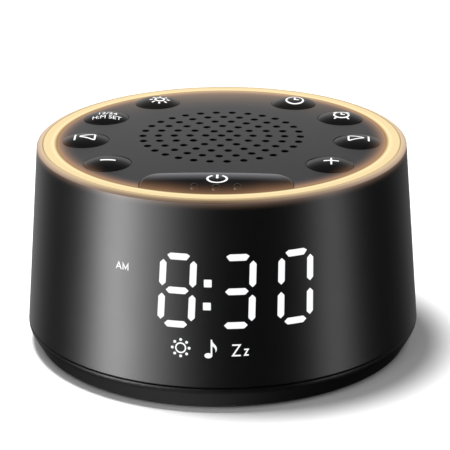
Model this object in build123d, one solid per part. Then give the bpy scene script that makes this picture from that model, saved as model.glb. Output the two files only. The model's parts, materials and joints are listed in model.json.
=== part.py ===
from build123d import *
import os
from math import asin, atan, cos, degrees, pi, radians, sin, sqrt, tan

# White noise sound machine: a round bedside unit with a smoked housing that the clock shows
# through, a glowing ring around a domed deck of push buttons, and a speaker that faces up.
# Millimetres. +Z is up, the clock side faces -Y, and the origin is the centre of the circle
# that the unit stands on.

# ---- Casing ----
FOOT_PROUD = 0.6            # rubber feet below the base
BODY_HEIGHT = 55.8          # underside of the base to the top of the light ring
RING_OUTER_R = 50.0         # light ring, and the housing at the ring's top
CORNER_R = 53.9             # widest place, where the housing meets the base band
BASE_BAND_INSET = 2.8       # edge of the underside inside the widest place
BASE_BAND_HEIGHT = 5.0      # chamfered band of the base
BASE_CORNER_FILLET = 2.4
SEAM_RISE = 1.1             # seam between base and housing, above the widest place
SEAM_BEVEL = 0.3            # bevels that make the seam a fine groove
WALL = 2.2
BASE_FLOOR = 2.4
LIP_HEIGHT = 2.0            # tongue of the base inside the housing
LIP_THICKNESS = 1.5
LIP_GAP = 0.2

# ---- Feet and base screws ----
FOOT_R = 4.5
FOOT_INSET = 3.6            # pads inside the edge of the underside
FOOT_RECESS = 0.8
FOOT_GAP = 0.15
FOOT_ANGLES = (0, 90, 180, 270)
COLUMN_GAP = 0.54           # screw bosses inside the tongue of the base
COLUMN_R = 3.0
COLUMN_ANGLES = (45, 135, 225, 315)
COLUMN_FOOT_RISE = 6.0      # top of a base boss above the floor of the base
BASE_BOSS_R = 3.4
BASE_SCREW_R = 1.2
BASE_SCREW_LENGTH = 14.0
BASE_SCREW_HEAD_R = 2.3
BASE_SCREW_HEAD = 1.8
BASE_SCREW_SEAT = 1.0       # seat of the screw head above the floor of the base
HEAD_GAP = 0.25
SCREW_CLEARANCE = 0.2       # radial, where a screw passes freely
THREAD_GAP = 0.02           # radial, where a screw bites
BORE_SPARE = 1.5            # blind bore beyond the screw's end

# ---- Light ring and deck plate ----
RING_WIDTH = 5.4
RING_LIP = 0.75             # outer lip of the ring on top of the housing
RING_FLANGE = 1.4
RING_SHOULDER = 1.8         # outer part of the ring, beyond its flat face
RING_SHOULDER_DROP = 0.6
RING_GROOVE = 0.3           # fine groove between the flat face and the shoulder
RING_GROOVE_DEPTH = 0.25
RING_SKIRT = 2.1            # thickness of the skirt below the ring's inner edge
RING_SKIRT_DEPTH = 5.4
RING_STEP_GAP = 0.15
PLATE_GAP = 0.2             # plate inside the ring
PLATE_PROUD = 0.1           # rim of the plate above the ring
PLATE_CROWN = 0.9           # rise of the plate from rim to centre
PLATE_EDGE = 2.4
PLATE_EDGE_FILLET = 0.3
GRILLE_RINGS = 5
GRILLE_PITCH = 4.27
GRILLE_HOLE_R = 1.05

# ---- Buttons ----
BUTTONS = {                 # angle from the back, clockwise seen from above
    "light_button": -31.7,
    "set_button": -63.0,
    "previous_button": -95.0,
    "minus_button": -127.5,
    "timer_button": 31.7,
    "alarm_button": 61.7,
    "next_button": 95.0,
    "plus_button": 127.5,
}
BUTTON_R = 6.2
BUTTON_GAP = 0.15
BUTTON_RISE = 1.4           # crown of a button above the plate
BUTTON_RIM = 0.1            # rim of a button above the plate
BUTTON_WALL = 1.3
CAP_FLANGE = 0.8
CAP_FLANGE_OVERLAP = 0.55
CAP_FLANGE_GAP = 0.1        # flange inside the light trough
STEM_R = 1.8
BUTTON_TRAVEL = 0.6

# ---- Power bar ----
BAR_BACK_Y = -32.4
BAR_HALF_LENGTH = 19.8
BAR_END_FLAT = 1.6          # straight part of the ends, from the rounded corner to the outer edge
BAR_TIP_R = 1.0             # roundness of the tips where the ends meet the outer edge
BAR_RING_GAP = 0.4          # outer edge of the bar inside the ring
BAR_RISE = 1.35             # back edge of the bar above the plate
BAR_CROWN_SET_BACK = 1.5    # highest line of the bar behind its back edge
BAR_CROWN_R = 30.0          # roundness from back to front
BAR_LENGTH_R = 420.0        # roundness from end to end
BAR_EDGE_FILLET = 1.0
BAR_UNDERCUT_GAP = 0.3      # below the plate the bar clears the light trough
BAR_LIFT_GAP = 0.2          # undercut above the trough when the bar is pressed
BAR_SWITCH_X = 11.5
BAR_SWITCH_Y = -37.5
BUMP_R = 1.4
BUMP_INSET = 3.7            # bumps inside the outer edge of the bar
BUMP_ANGLES = (-7.8, 0, 7.8)
BUMP_SINK = 0.55            # centre of a bump's ball below the bar's surface

# ---- Deck stack ----
DECK_DEPTH = 6.2            # key board's top to the underside of the plate
KEY_BOARD = 1.6
KEY_BOARD_GAP = 0.45        # board inside the housing wall
KEY_BOARD_INNER_R = 27.5
KEY_TAB_REACH = 4.1
KEY_TAB_WIDTH = 10.0
KEY_TAB_ROOT = 1.0          # part of the tab that lies in the board
BULKHEAD = 2.0
BULKHEAD_BORE_R = 28.5
SWITCH_SIDE = 6.0
SWITCH_HEIGHT = 3.2
PLUNGER_R = 1.6
PLUNGER_PROUD = 1.0
PLUNGER_SEAT = 0.9          # plunger's end below the top of its switch
PLUNGER_GAP = 0.1
POST_INSET = 4.5            # screw posts outside the bore of the bulkhead
POST_ANGLES = (46.7, 111.25, -111.25, -46.7)
POST_R = 2.4
DECK_SCREW_R = 1.0
DECK_SCREW_LENGTH = 8.0
DECK_SCREW_HEAD_R = 2.1
DECK_SCREW_HEAD = 1.5

# ---- Light trough and its LEDs ----
TROUGH_UNDER_PLATE = 0.7    # inner wall of the trough inside the plate's edge
TROUGH_GAP = 0.26           # outer wall inside the housing
TROUGH_WALL = 0.6
RING_LED_COUNT = 24
RING_LED_SIZE = (3.0, 2.0, 1.0)
LED_WINDOW_GAP = 0.2

# ---- Speaker ----
SPEAKER_FLANGE = 3.2        # width of the basket's flange
GASKET = 1.0
GASKET_INSET = 0.4
CLOTH = 0.3
CLOTH_GAP = 0.2             # cloth inside the gasket
BASKET_SHEET = 1.0
BASKET_DEPTH = 17.2         # flange's underside to the bottom of the basket
BASKET_FOOT_R = 15.6
BASKET_BORE_GAP = 0.75      # bore round the coil's winding
BASKET_WINDOW = (20.0, 14.0, 8.0)
BASKET_WINDOW_DROP = 8.0
SPIDER_LEDGE = 1.4
SPIDER_LEDGE_WIDTH = 2.6
SPIDER_RISE = 1.9
SPIDER_SHEET = 0.3
SPIDER_GAP = 0.12           # glue gap round the coil
SPIDER_WAVE = 0.25
SPIDER_WAVES = 3
SPIDER_STEPS = 24           # points along the waves
SPIDER_EDGE_GAP = 0.2
SURROUND_WIDTH = 3.6        # soft edge between the cone and the basket
CONE_DROP = 2.7             # rim of the cone below the flange's top
CONE_HEIGHT = 8.0
CONE_SHEET = 0.5
SURROUND_SHEET = 0.5
DUST_CAP_R = 7.5
DUST_CAP_RISE = 2.5
DUST_CAP_SHEET = 0.4
AIR_GAP = 0.35              # either side of the coil
COIL_FORMER = 0.3
COIL_WINDING = 0.4
COIL_WINDING_HEIGHT = 5.0
COIL_BELOW_BASKET = 5.0     # end of the coil former below the basket
CONE_TRAVEL = 1.0
MAGNET_R = 15.0
MAGNET_BORE_R = 8.0
MAGNET_HEIGHT = 6.0
POLE_PLATE = 2.0
POLE_R = 5.0
BACK_PLATE = 2.0
SPEAKER_SCREW_ANGLES = (0, 78.3, 180, -78.3)
SPEAKER_SCREW_R = 1.1
SPEAKER_SCREW_LENGTH = 4.0
SPEAKER_BORE_SPARE = 0.2
SPEAKER_WASHER_R = 3.6
SPEAKER_WASHER = 0.5
SPEAKER_HEAD_R = 2.0
SPEAKER_HEAD = 1.0
SPEAKER_BOSS_R = 2.2
SPEAKER_BOSS_GAP = 0.4
TERMINAL_DROP = 13.2        # terminal tab below the flange's underside
TERMINAL_SIZE = (8.0, 5.0, 1.5)

# ---- Clock display ----
DIGIT_ANGLES = (-27.7, -10.7, 6.2, 23.3)    # from the front, to the right
COLON_ANGLE = -2.1
DIGIT_WIDTH = 9.7
SEGMENT = 1.75
SEGMENT_GAP = 1.95
DIGIT_SLANT = 2.3
DIGIT_TOP_DROP = 13.9       # top of the digits below the ring's top
COLON_SIDE = 2.0
COLON_SPREAD = 6.1
DIGIT_FOOT_RISE = 5.4       # digits above the row of icons
ICON_WELLS = ((-9.6, 5.6, 5.6), (-1.2, 4.2, 5.8), (7.2, 6.0, 4.6))   # angle, width, height
MARKER_WELL = (-27.7, 4.45, 4.6, 2.6)       # angle, rise above the digits' middle, width, height
DISPLAY_LEFT = -35.5
DISPLAY_RIGHT = 31.5
DISPLAY_LIFT = 2.3          # module above the main board
DISPLAY_MARGIN = 4.5        # row of icons above the module's lower edge
DISPLAY_TOP_GAP = 0.2       # module below the bulkhead
DISPLAY_GAP = 0.05
FILM = 0.25
REFLECTOR = 4.4
FLEX = 0.4
CLOCK_LED = (1.2, 0.6, 0.8)
CLOCK_LED_GAP = 0.1

# ---- Main board ----
BOARD_RISE = 6.0            # underside of the board above the floor of the base
BOARD = 1.6
BOARD_R = 39.0
BOARD_TONGUE = 14.0
STANDOFF_CIRCLE_R = 35.0
STANDOFF_ANGLES = (30, 150, 210, 330)
STANDOFF_R = 2.6
BOARD_SCREW_R = 1.0
BOARD_SCREW_LENGTH = 6.6
BOARD_SCREW_HEAD_R = 2.0
BOARD_SCREW_HEAD = 1.4
USB_WIDTH = 8.94
USB_HEIGHT = 3.26
USB_DEPTH = 7.35
USB_SHEET = 0.3
USB_CAVITY_DEPTH = 6.2
USB_TONGUE = (6.7, 0.7, 4.5)
USB_INSET = 0.4             # mouth of the socket inside the housing
INLET_WIDTH = 12.6
INLET_HEIGHT = 7.0
CONTROLLER = (-12.0, 6.0, 10.0, 10.0, 1.2)  # x, y, length, width, height
AMPLIFIER = (13.0, 12.0, 6.0, 6.0, 1.0)
CAPACITORS = ((20.0, -6.0), (20.0, -14.0), (-20.0, -12.0))
CAPACITOR_R = 3.15
CAPACITOR_HEIGHT = 7.0
KEY_SOCKET = (30.0, 0.0, 3.5, 10.0, 2.4)
DISPLAY_SOCKET = (0.0, -33.0, 14.0, 3.5, 2.0)
SPEAKER_SOCKET = (-28.0, 4.0, 4.0, 7.0, 5.0)

# ---- Coin cell ----
CELL_R = 10.0
CELL_HEIGHT = 3.2
CELL_X = 0.0
CELL_Y = -13.0
CELL_LIFT = 1.0             # cell above the floor of the base
CELL_GAP = 0.2
HOLDER_WALL = 1.8
HOLDER_LIFT = 0.2
DOOR_R = 12.5
DOOR = 1.4
DOOR_GAP = 0.15
DOOR_EAR_R = 4.0
DOOR_EAR_REACH = 14.5
DOOR_PAD_R = 9.5
DOOR_PAD_GAP = 0.1
HATCH_R = 10.8
DOOR_SCREW_R = 0.8
DOOR_SCREW_LENGTH = 5.2
DOOR_SCREW_HEAD_R = 1.6
DOOR_SCREW_HEAD = 0.6
DOOR_BOSS_R = 2.2
DOOR_BOSS_HEIGHT = 5.0
LABEL_SIZE = (34.0, 14.0)
LABEL_DEPTH = 0.2
LABEL_Y = 20.0

# ---- Wiring ----
RIBBON = 0.3
KEY_RIBBON_WIDTH = 8.0
DISPLAY_RIBBON_WIDTH = 10.0
KEY_RIBBON_INSET = 1.7      # ribbon inside the end of the board's tab
RIBBON_BEND_R = 7.0
DISPLAY_RIBBON_BEND_R = 1.0
LEAD_R = 0.6
LEAD_SPACING = 2.6
LEAD_BEND_R = 5.0
LEAD_INSET = 2.0            # leads inside the end of the terminal tab

# ---- Small values used all over ----
GLUE_GAP = 0.05
EDGE_PICK = 0.05            # reach when an edge is picked by its height

# ---- Levels that follow ----
BASE_BOTTOM_Z = FOOT_PROUD
CORNER_Z = BASE_BOTTOM_Z + BASE_BAND_HEIGHT
SEAM_Z = CORNER_Z + SEAM_RISE
RING_TOP_Z = BASE_BOTTOM_Z + BODY_HEIGHT
SHELL_TOP_Z = RING_TOP_Z - RING_LIP
FLOOR_Z = BASE_BOTTOM_Z + BASE_FLOOR
COLUMN_FOOT_Z = FLOOR_Z + COLUMN_FOOT_RISE
PLATE_EDGE_Z = RING_TOP_Z + PLATE_PROUD
PLATE_CROWN_Z = PLATE_EDGE_Z + PLATE_CROWN
PLATE_BOTTOM_Z = PLATE_EDGE_Z - PLATE_EDGE
KEY_BOARD_TOP_Z = PLATE_BOTTOM_Z - DECK_DEPTH
BULKHEAD_TOP_Z = KEY_BOARD_TOP_Z - KEY_BOARD
BULKHEAD_BOTTOM_Z = BULKHEAD_TOP_Z - BULKHEAD
SWITCH_TOP_Z = KEY_BOARD_TOP_Z + SWITCH_HEIGHT
PLUNGER_TOP_Z = SWITCH_TOP_Z + PLUNGER_PROUD
CAP_BOTTOM_Z = PLATE_BOTTOM_Z - CAP_FLANGE
BOARD_BOTTOM_Z = FLOOR_Z + BOARD_RISE
BOARD_TOP_Z = BOARD_BOTTOM_Z + BOARD
FLANGE_TOP_Z = PLATE_BOTTOM_Z - GASKET
FLANGE_BOTTOM_Z = FLANGE_TOP_Z - BASKET_SHEET
BASKET_BOTTOM_Z = FLANGE_BOTTOM_Z - BASKET_DEPTH
LEDGE_Z = BASKET_BOTTOM_Z + BASKET_SHEET + SPIDER_LEDGE
POLE_PLATE_BOTTOM_Z = BASKET_BOTTOM_Z - POLE_PLATE
MAGNET_BOTTOM_Z = POLE_PLATE_BOTTOM_Z - MAGNET_HEIGHT
CONE_RIM_Z = FLANGE_TOP_Z - CONE_DROP
CONE_NECK_Z = CONE_RIM_Z - CONE_HEIGHT
DISPLAY_BOTTOM_Z = BOARD_TOP_Z + DISPLAY_LIFT
DISPLAY_TOP_Z = BULKHEAD_BOTTOM_Z - DISPLAY_TOP_GAP
ICON_Z = DISPLAY_BOTTOM_Z + DISPLAY_MARGIN
DIGIT_FOOT_Z = ICON_Z + DIGIT_FOOT_RISE
DIGIT_HEIGHT = RING_TOP_Z - DIGIT_TOP_DROP - DIGIT_FOOT_Z
DIGIT_MIDDLE_Z = DIGIT_FOOT_Z + DIGIT_HEIGHT / 2
REFLECTOR_INSET = 2 * DISPLAY_GAP + FILM    # depth of each layer behind the housing wall
FLEX_INSET = REFLECTOR_INSET + REFLECTOR + DISPLAY_GAP
USB_Z = BOARD_TOP_Z + USB_HEIGHT / 2


def outer_r(z):
    """Outside radius of the tapered housing at height z."""
    taper = (CORNER_R - RING_OUTER_R) / (RING_TOP_Z - CORNER_Z)
    return RING_OUTER_R + taper * (RING_TOP_Z - z)


def inner_r(z):
    """Inside radius of the housing wall at height z."""
    return outer_r(z) - WALL


# ---- Radii that follow, from the outside inwards ----
BASE_BOTTOM_R = CORNER_R - BASE_BAND_INSET
FOOT_CIRCLE_R = BASE_BOTTOM_R - FOOT_INSET - FOOT_R
LIP_R = inner_r(SEAM_Z) - LIP_GAP
COLUMN_CIRCLE_R = LIP_R - LIP_THICKNESS - COLUMN_GAP - BASE_BOSS_R
RING_INNER_R = RING_OUTER_R - RING_WIDTH
PLATE_R = RING_INNER_R - PLATE_GAP
KEY_BOARD_OUTER_R = inner_r(KEY_BOARD_TOP_Z) - KEY_BOARD_GAP
TROUGH_OUTER_R = min(inner_r(SHELL_TOP_Z), inner_r(KEY_BOARD_TOP_Z)) - TROUGH_GAP
TROUGH_INNER_R = PLATE_R - TROUGH_UNDER_PLATE
BAR_OUTER_R = RING_INNER_R - BAR_RING_GAP
BAR_UNDERCUT_R = TROUGH_INNER_R - BAR_UNDERCUT_GAP
BUMP_CIRCLE_R = BAR_OUTER_R - BUMP_INSET
CAP_FLANGE_R = BUTTON_R + BUTTON_GAP + CAP_FLANGE_OVERLAP
BUTTON_CIRCLE_R = TROUGH_INNER_R - CAP_FLANGE_GAP - CAP_FLANGE_R
POST_CIRCLE_R = BULKHEAD_BORE_R + POST_INSET
SPEAKER_MOUTH_R = GRILLE_RINGS * GRILLE_PITCH + GRILLE_HOLE_R
SPEAKER_R = SPEAKER_MOUTH_R + SPEAKER_FLANGE
SPEAKER_SCREW_CIRCLE_R = SPEAKER_R + SPEAKER_BOSS_GAP + SPEAKER_BOSS_R
CONE_R = SPEAKER_MOUTH_R - SURROUND_WIDTH
SPIDER_LEDGE_R = BASKET_FOOT_R - SPIDER_LEDGE_WIDTH
COIL_INNER_R = POLE_R + AIR_GAP
COIL_OUTER_R = COIL_INNER_R + COIL_FORMER
WINDING_R = COIL_OUTER_R + COIL_WINDING
CONE_NECK_R = COIL_OUTER_R + GLUE_GAP
POLE_PLATE_BORE_R = WINDING_R + AIR_GAP
BASKET_BORE_R = WINDING_R + BASKET_BORE_GAP


def deck_z(radius):
    """Height of the domed plate at a radius."""
    ball = (PLATE_R ** 2 + PLATE_CROWN ** 2) / (2 * PLATE_CROWN)
    return PLATE_CROWN_Z - ball + sqrt(ball ** 2 - radius ** 2)


def from_back(radius, angle):
    """Point at an angle from the back, clockwise seen from above."""
    return radius * sin(radians(angle)), radius * cos(radians(angle))


def spin(*points, arc=360):
    """Turn an outline of (radius, z) points about the Z axis."""
    return revolve(Plane.XZ * make_face(Polyline(*points, close=True)), Axis.Z, arc)


def disc(radius, low, high, at=(0, 0)):
    """Upright cylinder between two levels."""
    return Pos(at[0], at[1], low) * extrude(Circle(radius), high - low)


def tube(outer, inner, low, high):
    """Upright ring between two levels."""
    return Pos(0, 0, low) * extrude(Circle(outer) - Circle(inner), high - low)


def block(x, y, length, width, low, high):
    """Upright box with its centre at x, y."""
    return Pos(x, y, low) * extrude(Rectangle(length, width), high - low)


def joined(solids):
    """Several separate solids of one sub-part."""
    solids = list(solids)
    return Compound(children=solids) if len(solids) > 1 else solids[0]


def screw(at, seat, head_r, head, shank_r, length, direction=1):
    """Screw whose head lies under the seat; direction 1 points up, -1 points down."""
    shank = disc(shank_r, min(seat, seat + direction * length), max(seat, seat + direction * length), at)
    cap = disc(head_r, min(seat, seat - direction * head), max(seat, seat - direction * head), at)
    recess_end = seat - direction * head
    recess_start = recess_end + direction * head / 2
    hexagon = RegularPolygon(head_r / 2, 6)
    drive = extrude(hexagon, abs(recess_end - recess_start))
    return shank + cap - Pos(at[0], at[1], min(recess_end, recess_start)) * drive


# ---- Casing ----

def inlet_outline(width, height, middle_z):
    """Stadium on an upright plane that faces the back."""
    return Pos(0, 0, middle_z) * (Plane.XZ * SlotOverall(width, height))


def make_shell():
    bevel_z = SEAM_Z + SEAM_BEVEL
    body = spin(
        (outer_r(SEAM_Z) - SEAM_BEVEL, SEAM_Z),
        (outer_r(bevel_z), bevel_z),
        (outer_r(SHELL_TOP_Z), SHELL_TOP_Z),
        (inner_r(SHELL_TOP_Z), SHELL_TOP_Z),
        (inner_r(BULKHEAD_TOP_Z), BULKHEAD_TOP_Z),
        (BULKHEAD_BORE_R, BULKHEAD_TOP_Z),
        (BULKHEAD_BORE_R, BULKHEAD_BOTTOM_Z),
        (inner_r(BULKHEAD_BOTTOM_Z), BULKHEAD_BOTTOM_Z),
        (inner_r(SEAM_Z), SEAM_Z),
    )
    for angle in COLUMN_ANGLES:
        body += disc(COLUMN_R, COLUMN_FOOT_Z, BULKHEAD_TOP_Z, from_back(COLUMN_CIRCLE_R, angle))
    bore_top = FLOOR_Z + BASE_SCREW_SEAT + BASE_SCREW_LENGTH + BORE_SPARE
    for angle in COLUMN_ANGLES:
        bore_r = BASE_SCREW_R + THREAD_GAP
        body -= disc(bore_r, COLUMN_FOOT_Z, bore_top, from_back(COLUMN_CIRCLE_R, angle))
    for angle in POST_ANGLES:
        hole_r = DECK_SCREW_R + SCREW_CLEARANCE
        body -= disc(hole_r, BULKHEAD_BOTTOM_Z, BULKHEAD_TOP_Z, from_back(POST_CIRCLE_R, angle))
    inlet = extrude(inlet_outline(INLET_WIDTH, INLET_HEIGHT, USB_Z), -2 * WALL)
    return body - Pos(0, inner_r(USB_Z) - WALL / 2, 0) * inlet


def door_outline(spread):
    """Round battery door with its screw ear, grown by a clearance."""
    ear = Pos(0, -DOOR_EAR_REACH) * Circle(DOOR_EAR_R + spread)
    neck = Pos(0, -DOOR_EAR_REACH / 2) * Rectangle(2 * (DOOR_EAR_R + spread), DOOR_EAR_REACH)
    return Circle(DOOR_R + spread) + ear + neck


def make_base():
    lip_top = SEAM_Z + LIP_HEIGHT
    lip_inner_r = LIP_R - LIP_THICKNESS
    bevel_z = SEAM_Z - SEAM_BEVEL
    body = spin(
        (0, BASE_BOTTOM_Z),
        (BASE_BOTTOM_R, BASE_BOTTOM_Z),
        (CORNER_R, CORNER_Z),
        (outer_r(bevel_z), bevel_z),
        (outer_r(SEAM_Z) - SEAM_BEVEL, SEAM_Z),
        (LIP_R, SEAM_Z),
        (LIP_R, lip_top),
        (lip_inner_r, lip_top),
        (lip_inner_r, FLOOR_Z),
        (0, FLOOR_Z),
    )
    widest = body.edges().filter_by_position(Axis.Z, CORNER_Z - EDGE_PICK, CORNER_Z + EDGE_PICK)
    band_lean = atan(BASE_BAND_INSET / BASE_BAND_HEIGHT)
    wall_lean = atan((CORNER_R - RING_OUTER_R) / (RING_TOP_Z - CORNER_Z))
    land = SEAM_RISE - SEAM_BEVEL - EDGE_PICK
    roundest = land / tan((band_lean + wall_lean) / 2)      # the rounding still ends below the bevel
    body = fillet(widest, min(BASE_CORNER_FILLET, roundest))
    seat = FLOOR_Z + BASE_SCREW_SEAT
    for angle in COLUMN_ANGLES:
        at = from_back(COLUMN_CIRCLE_R, angle)
        body += disc(BASE_BOSS_R, FLOOR_Z, COLUMN_FOOT_Z, at)
        body -= disc(BASE_SCREW_HEAD_R + HEAD_GAP, BASE_BOTTOM_Z, seat, at)
        body -= disc(BASE_SCREW_R + SCREW_CLEARANCE, seat, COLUMN_FOOT_Z, at)
    for angle in FOOT_ANGLES:
        at = from_back(FOOT_CIRCLE_R, angle)
        body -= disc(FOOT_R + FOOT_GAP, BASE_BOTTOM_Z, BASE_BOTTOM_Z + FOOT_RECESS, at)
    for angle in STANDOFF_ANGLES:
        at = from_back(STANDOFF_CIRCLE_R, angle)
        body += disc(STANDOFF_R, FLOOR_Z, BOARD_BOTTOM_Z, at)
        body -= disc(BOARD_SCREW_R + THREAD_GAP, FLOOR_Z, BOARD_BOTTOM_Z, at)
    ear = (CELL_X, CELL_Y - DOOR_EAR_REACH)
    door_top = BASE_BOTTOM_Z + DOOR
    body += disc(DOOR_BOSS_R, FLOOR_Z, FLOOR_Z + DOOR_BOSS_HEIGHT, ear)
    body -= Pos(CELL_X, CELL_Y, BASE_BOTTOM_Z) * extrude(door_outline(DOOR_GAP), DOOR)
    body -= disc(HATCH_R, door_top, FLOOR_Z, (CELL_X, CELL_Y))
    bore_top = BASE_BOTTOM_Z + DOOR_SCREW_HEAD + DOOR_SCREW_LENGTH + BORE_SPARE / 2
    body -= disc(DOOR_SCREW_R + THREAD_GAP, door_top, bore_top, ear)
    label = block(0, LABEL_Y, *LABEL_SIZE, BASE_BOTTOM_Z, BASE_BOTTOM_Z + LABEL_DEPTH)
    return body - label


def make_battery_door():
    door_top = BASE_BOTTOM_Z + DOOR
    pad_top = FLOOR_Z + CELL_LIFT - DOOR_PAD_GAP
    body = Pos(CELL_X, CELL_Y, BASE_BOTTOM_Z) * extrude(door_outline(0), DOOR)
    body += disc(DOOR_PAD_R, door_top, pad_top, (CELL_X, CELL_Y))
    ear = (CELL_X, CELL_Y - DOOR_EAR_REACH)
    seat = BASE_BOTTOM_Z + DOOR_SCREW_HEAD
    body -= disc(DOOR_SCREW_HEAD_R + DOOR_GAP, BASE_BOTTOM_Z, seat, ear)
    return body - disc(DOOR_SCREW_R + DOOR_GAP, seat, door_top, ear)


def make_battery_door_screw():
    ear = (CELL_X, CELL_Y - DOOR_EAR_REACH)
    seat = BASE_BOTTOM_Z + DOOR_SCREW_HEAD
    return screw(ear, seat, DOOR_SCREW_HEAD_R, DOOR_SCREW_HEAD, DOOR_SCREW_R, DOOR_SCREW_LENGTH)


def make_foot_pads():
    top = BASE_BOTTOM_Z + FOOT_RECESS
    return joined(disc(FOOT_R, 0, top, from_back(FOOT_CIRCLE_R, angle)) for angle in FOOT_ANGLES)


def make_base_screws():
    seat = FLOOR_Z + BASE_SCREW_SEAT
    return joined(
        screw(from_back(COLUMN_CIRCLE_R, angle), seat, BASE_SCREW_HEAD_R, BASE_SCREW_HEAD,
              BASE_SCREW_R, BASE_SCREW_LENGTH)
        for angle in COLUMN_ANGLES
    )


# ---- Deck ----

def grille_points():
    """Centre hole and five rings of six, twelve, ... holes."""
    points = [(0, 0)]
    for ring in range(1, GRILLE_RINGS + 1):
        count = 6 * ring
        points += [from_back(ring * GRILLE_PITCH, 90 + 360 * hole / count) for hole in range(count)]
    return points


def bar_outline(spread, radius):
    """Crescent of the power bar, grown by a clearance and cut off at a radius."""
    length = 2 * (BAR_HALF_LENGTH + spread)
    depth = 2 * (RING_OUTER_R + BAR_BACK_Y)
    end_y = sqrt(BAR_OUTER_R ** 2 - BAR_HALF_LENGTH ** 2)
    corner_r = end_y + BAR_BACK_Y - BAR_END_FLAT
    plan = RectangleRounded(length, depth, corner_r + spread)
    return (Pos(0, BAR_BACK_Y + spread - depth / 2) * plan) & Circle(radius)


def make_top_plate():
    half = PLATE_R / 2
    rim = make_face(
        Polyline((0, PLATE_CROWN_Z), (0, PLATE_BOTTOM_Z), (PLATE_R, PLATE_BOTTOM_Z),
                 (PLATE_R, PLATE_EDGE_Z))
        + ThreePointArc((PLATE_R, PLATE_EDGE_Z), (half, deck_z(half)), (0, PLATE_CROWN_Z))
    )
    body = revolve(Plane.XZ * rim, Axis.Z)
    edge = body.edges().filter_by_position(Axis.Z, PLATE_EDGE_Z - EDGE_PICK, PLATE_EDGE_Z + EDGE_PICK)
    body = fillet(edge, PLATE_EDGE_FILLET)
    for angle in POST_ANGLES:
        body += disc(POST_R, KEY_BOARD_TOP_Z, PLATE_BOTTOM_Z, from_back(POST_CIRCLE_R, angle))
    for angle in SPEAKER_SCREW_ANGLES:
        at = from_back(SPEAKER_SCREW_CIRCLE_R, angle)
        body += disc(SPEAKER_BOSS_R, FLANGE_BOTTOM_Z, PLATE_BOTTOM_Z, at)
    post_bore_top = BULKHEAD_BOTTOM_Z + DECK_SCREW_LENGTH + BORE_SPARE / 3
    for angle in POST_ANGLES:
        at = from_back(POST_CIRCLE_R, angle)
        body -= disc(DECK_SCREW_R + THREAD_GAP, KEY_BOARD_TOP_Z, post_bore_top, at)
    for angle in SPEAKER_SCREW_ANGLES:
        at = from_back(SPEAKER_SCREW_CIRCLE_R, angle)
        bore_r = SPEAKER_SCREW_R + THREAD_GAP
        bore_top = FLANGE_BOTTOM_Z + SPEAKER_SCREW_LENGTH + SPEAKER_BORE_SPARE
        body -= disc(bore_r, FLANGE_BOTTOM_Z, bore_top, at)
    openings = Sketch() + [Pos(*point) * Circle(GRILLE_HOLE_R) for point in grille_points()]
    openings += [
        Pos(*from_back(BUTTON_CIRCLE_R, angle)) * Circle(BUTTON_R + BUTTON_GAP)
        for angle in BUTTONS.values()
    ]
    openings += bar_outline(BUTTON_GAP, PLATE_R + BUTTON_GAP)
    return body - Pos(0, 0, PLATE_BOTTOM_Z) * extrude(openings, PLATE_EDGE + 2 * PLATE_CROWN)


def make_button(angle):
    """Domed cap with a retaining flange, hollow below, and the stem that reaches its switch."""
    deck = deck_z(BUTTON_CIRCLE_R)
    rim_z = deck + BUTTON_RIM
    crown_z = deck + BUTTON_RISE
    rise = crown_z - rim_z
    ball = (BUTTON_R ** 2 + rise ** 2) / (2 * rise)
    half = BUTTON_R / 2
    half_z = crown_z - ball + sqrt(ball ** 2 - half ** 2)
    hollow_top = rim_z - BUTTON_WALL
    outline = make_face(
        Polyline((0, crown_z), (0, PLUNGER_TOP_Z), (STEM_R, PLUNGER_TOP_Z), (STEM_R, hollow_top),
                 (BUTTON_R - BUTTON_WALL, hollow_top), (BUTTON_R - BUTTON_WALL, CAP_BOTTOM_Z),
                 (CAP_FLANGE_R, CAP_BOTTOM_Z), (CAP_FLANGE_R, PLATE_BOTTOM_Z), (BUTTON_R, PLATE_BOTTOM_Z),
                 (BUTTON_R, rim_z))
        + ThreePointArc((BUTTON_R, rim_z), (half, half_z), (0, crown_z))
    )
    cap = revolve(Plane.XZ * outline, Axis.Z)
    x, y = from_back(BUTTON_CIRCLE_R, angle)
    return Pos(x, y, 0) * cap


def make_plunger(at):
    return disc(PLUNGER_R, SWITCH_TOP_Z - PLUNGER_SEAT, PLUNGER_TOP_Z, at)


def bar_crown():
    """Barrel-shaped block whose skin is the bar's rounded top."""
    crown_y = BAR_BACK_Y + BAR_CROWN_SET_BACK
    crown_z = deck_z(-BAR_BACK_Y) + BAR_RISE
    reach = RING_OUTER_R + BAR_BACK_Y + BAR_CROWN_SET_BACK
    drop = BAR_CROWN_R - sqrt(BAR_CROWN_R ** 2 - reach ** 2)
    middle = reach / 2
    middle_drop = BAR_CROWN_R - sqrt(BAR_CROWN_R ** 2 - middle ** 2)
    low = KEY_BOARD_TOP_Z
    section = make_face(
        ThreePointArc((crown_y, crown_z), (crown_y - middle, crown_z - middle_drop),
                      (crown_y - reach, crown_z - drop))
        + Polyline((crown_y - reach, crown_z - drop), (crown_y - reach, low), (crown_y, low),
                   (crown_y, crown_z))
    )
    axis = Axis((0, 0, crown_z - BAR_LENGTH_R), (0, 1, 0))
    swing = degrees(2 * BAR_HALF_LENGTH / BAR_LENGTH_R)
    return revolve((Plane.YZ * section).rotate(axis, -swing), axis, 2 * swing)


def bar_top_z(x, y):
    """Height of the bar's rounded top at a point."""
    crown_z = deck_z(-BAR_BACK_Y) + BAR_RISE
    back = BAR_BACK_Y + BAR_CROWN_SET_BACK - y
    drop = BAR_CROWN_R - sqrt(BAR_CROWN_R ** 2 - back ** 2)
    side = BAR_LENGTH_R - drop
    return crown_z - BAR_LENGTH_R + sqrt(side ** 2 - x ** 2)


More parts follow.
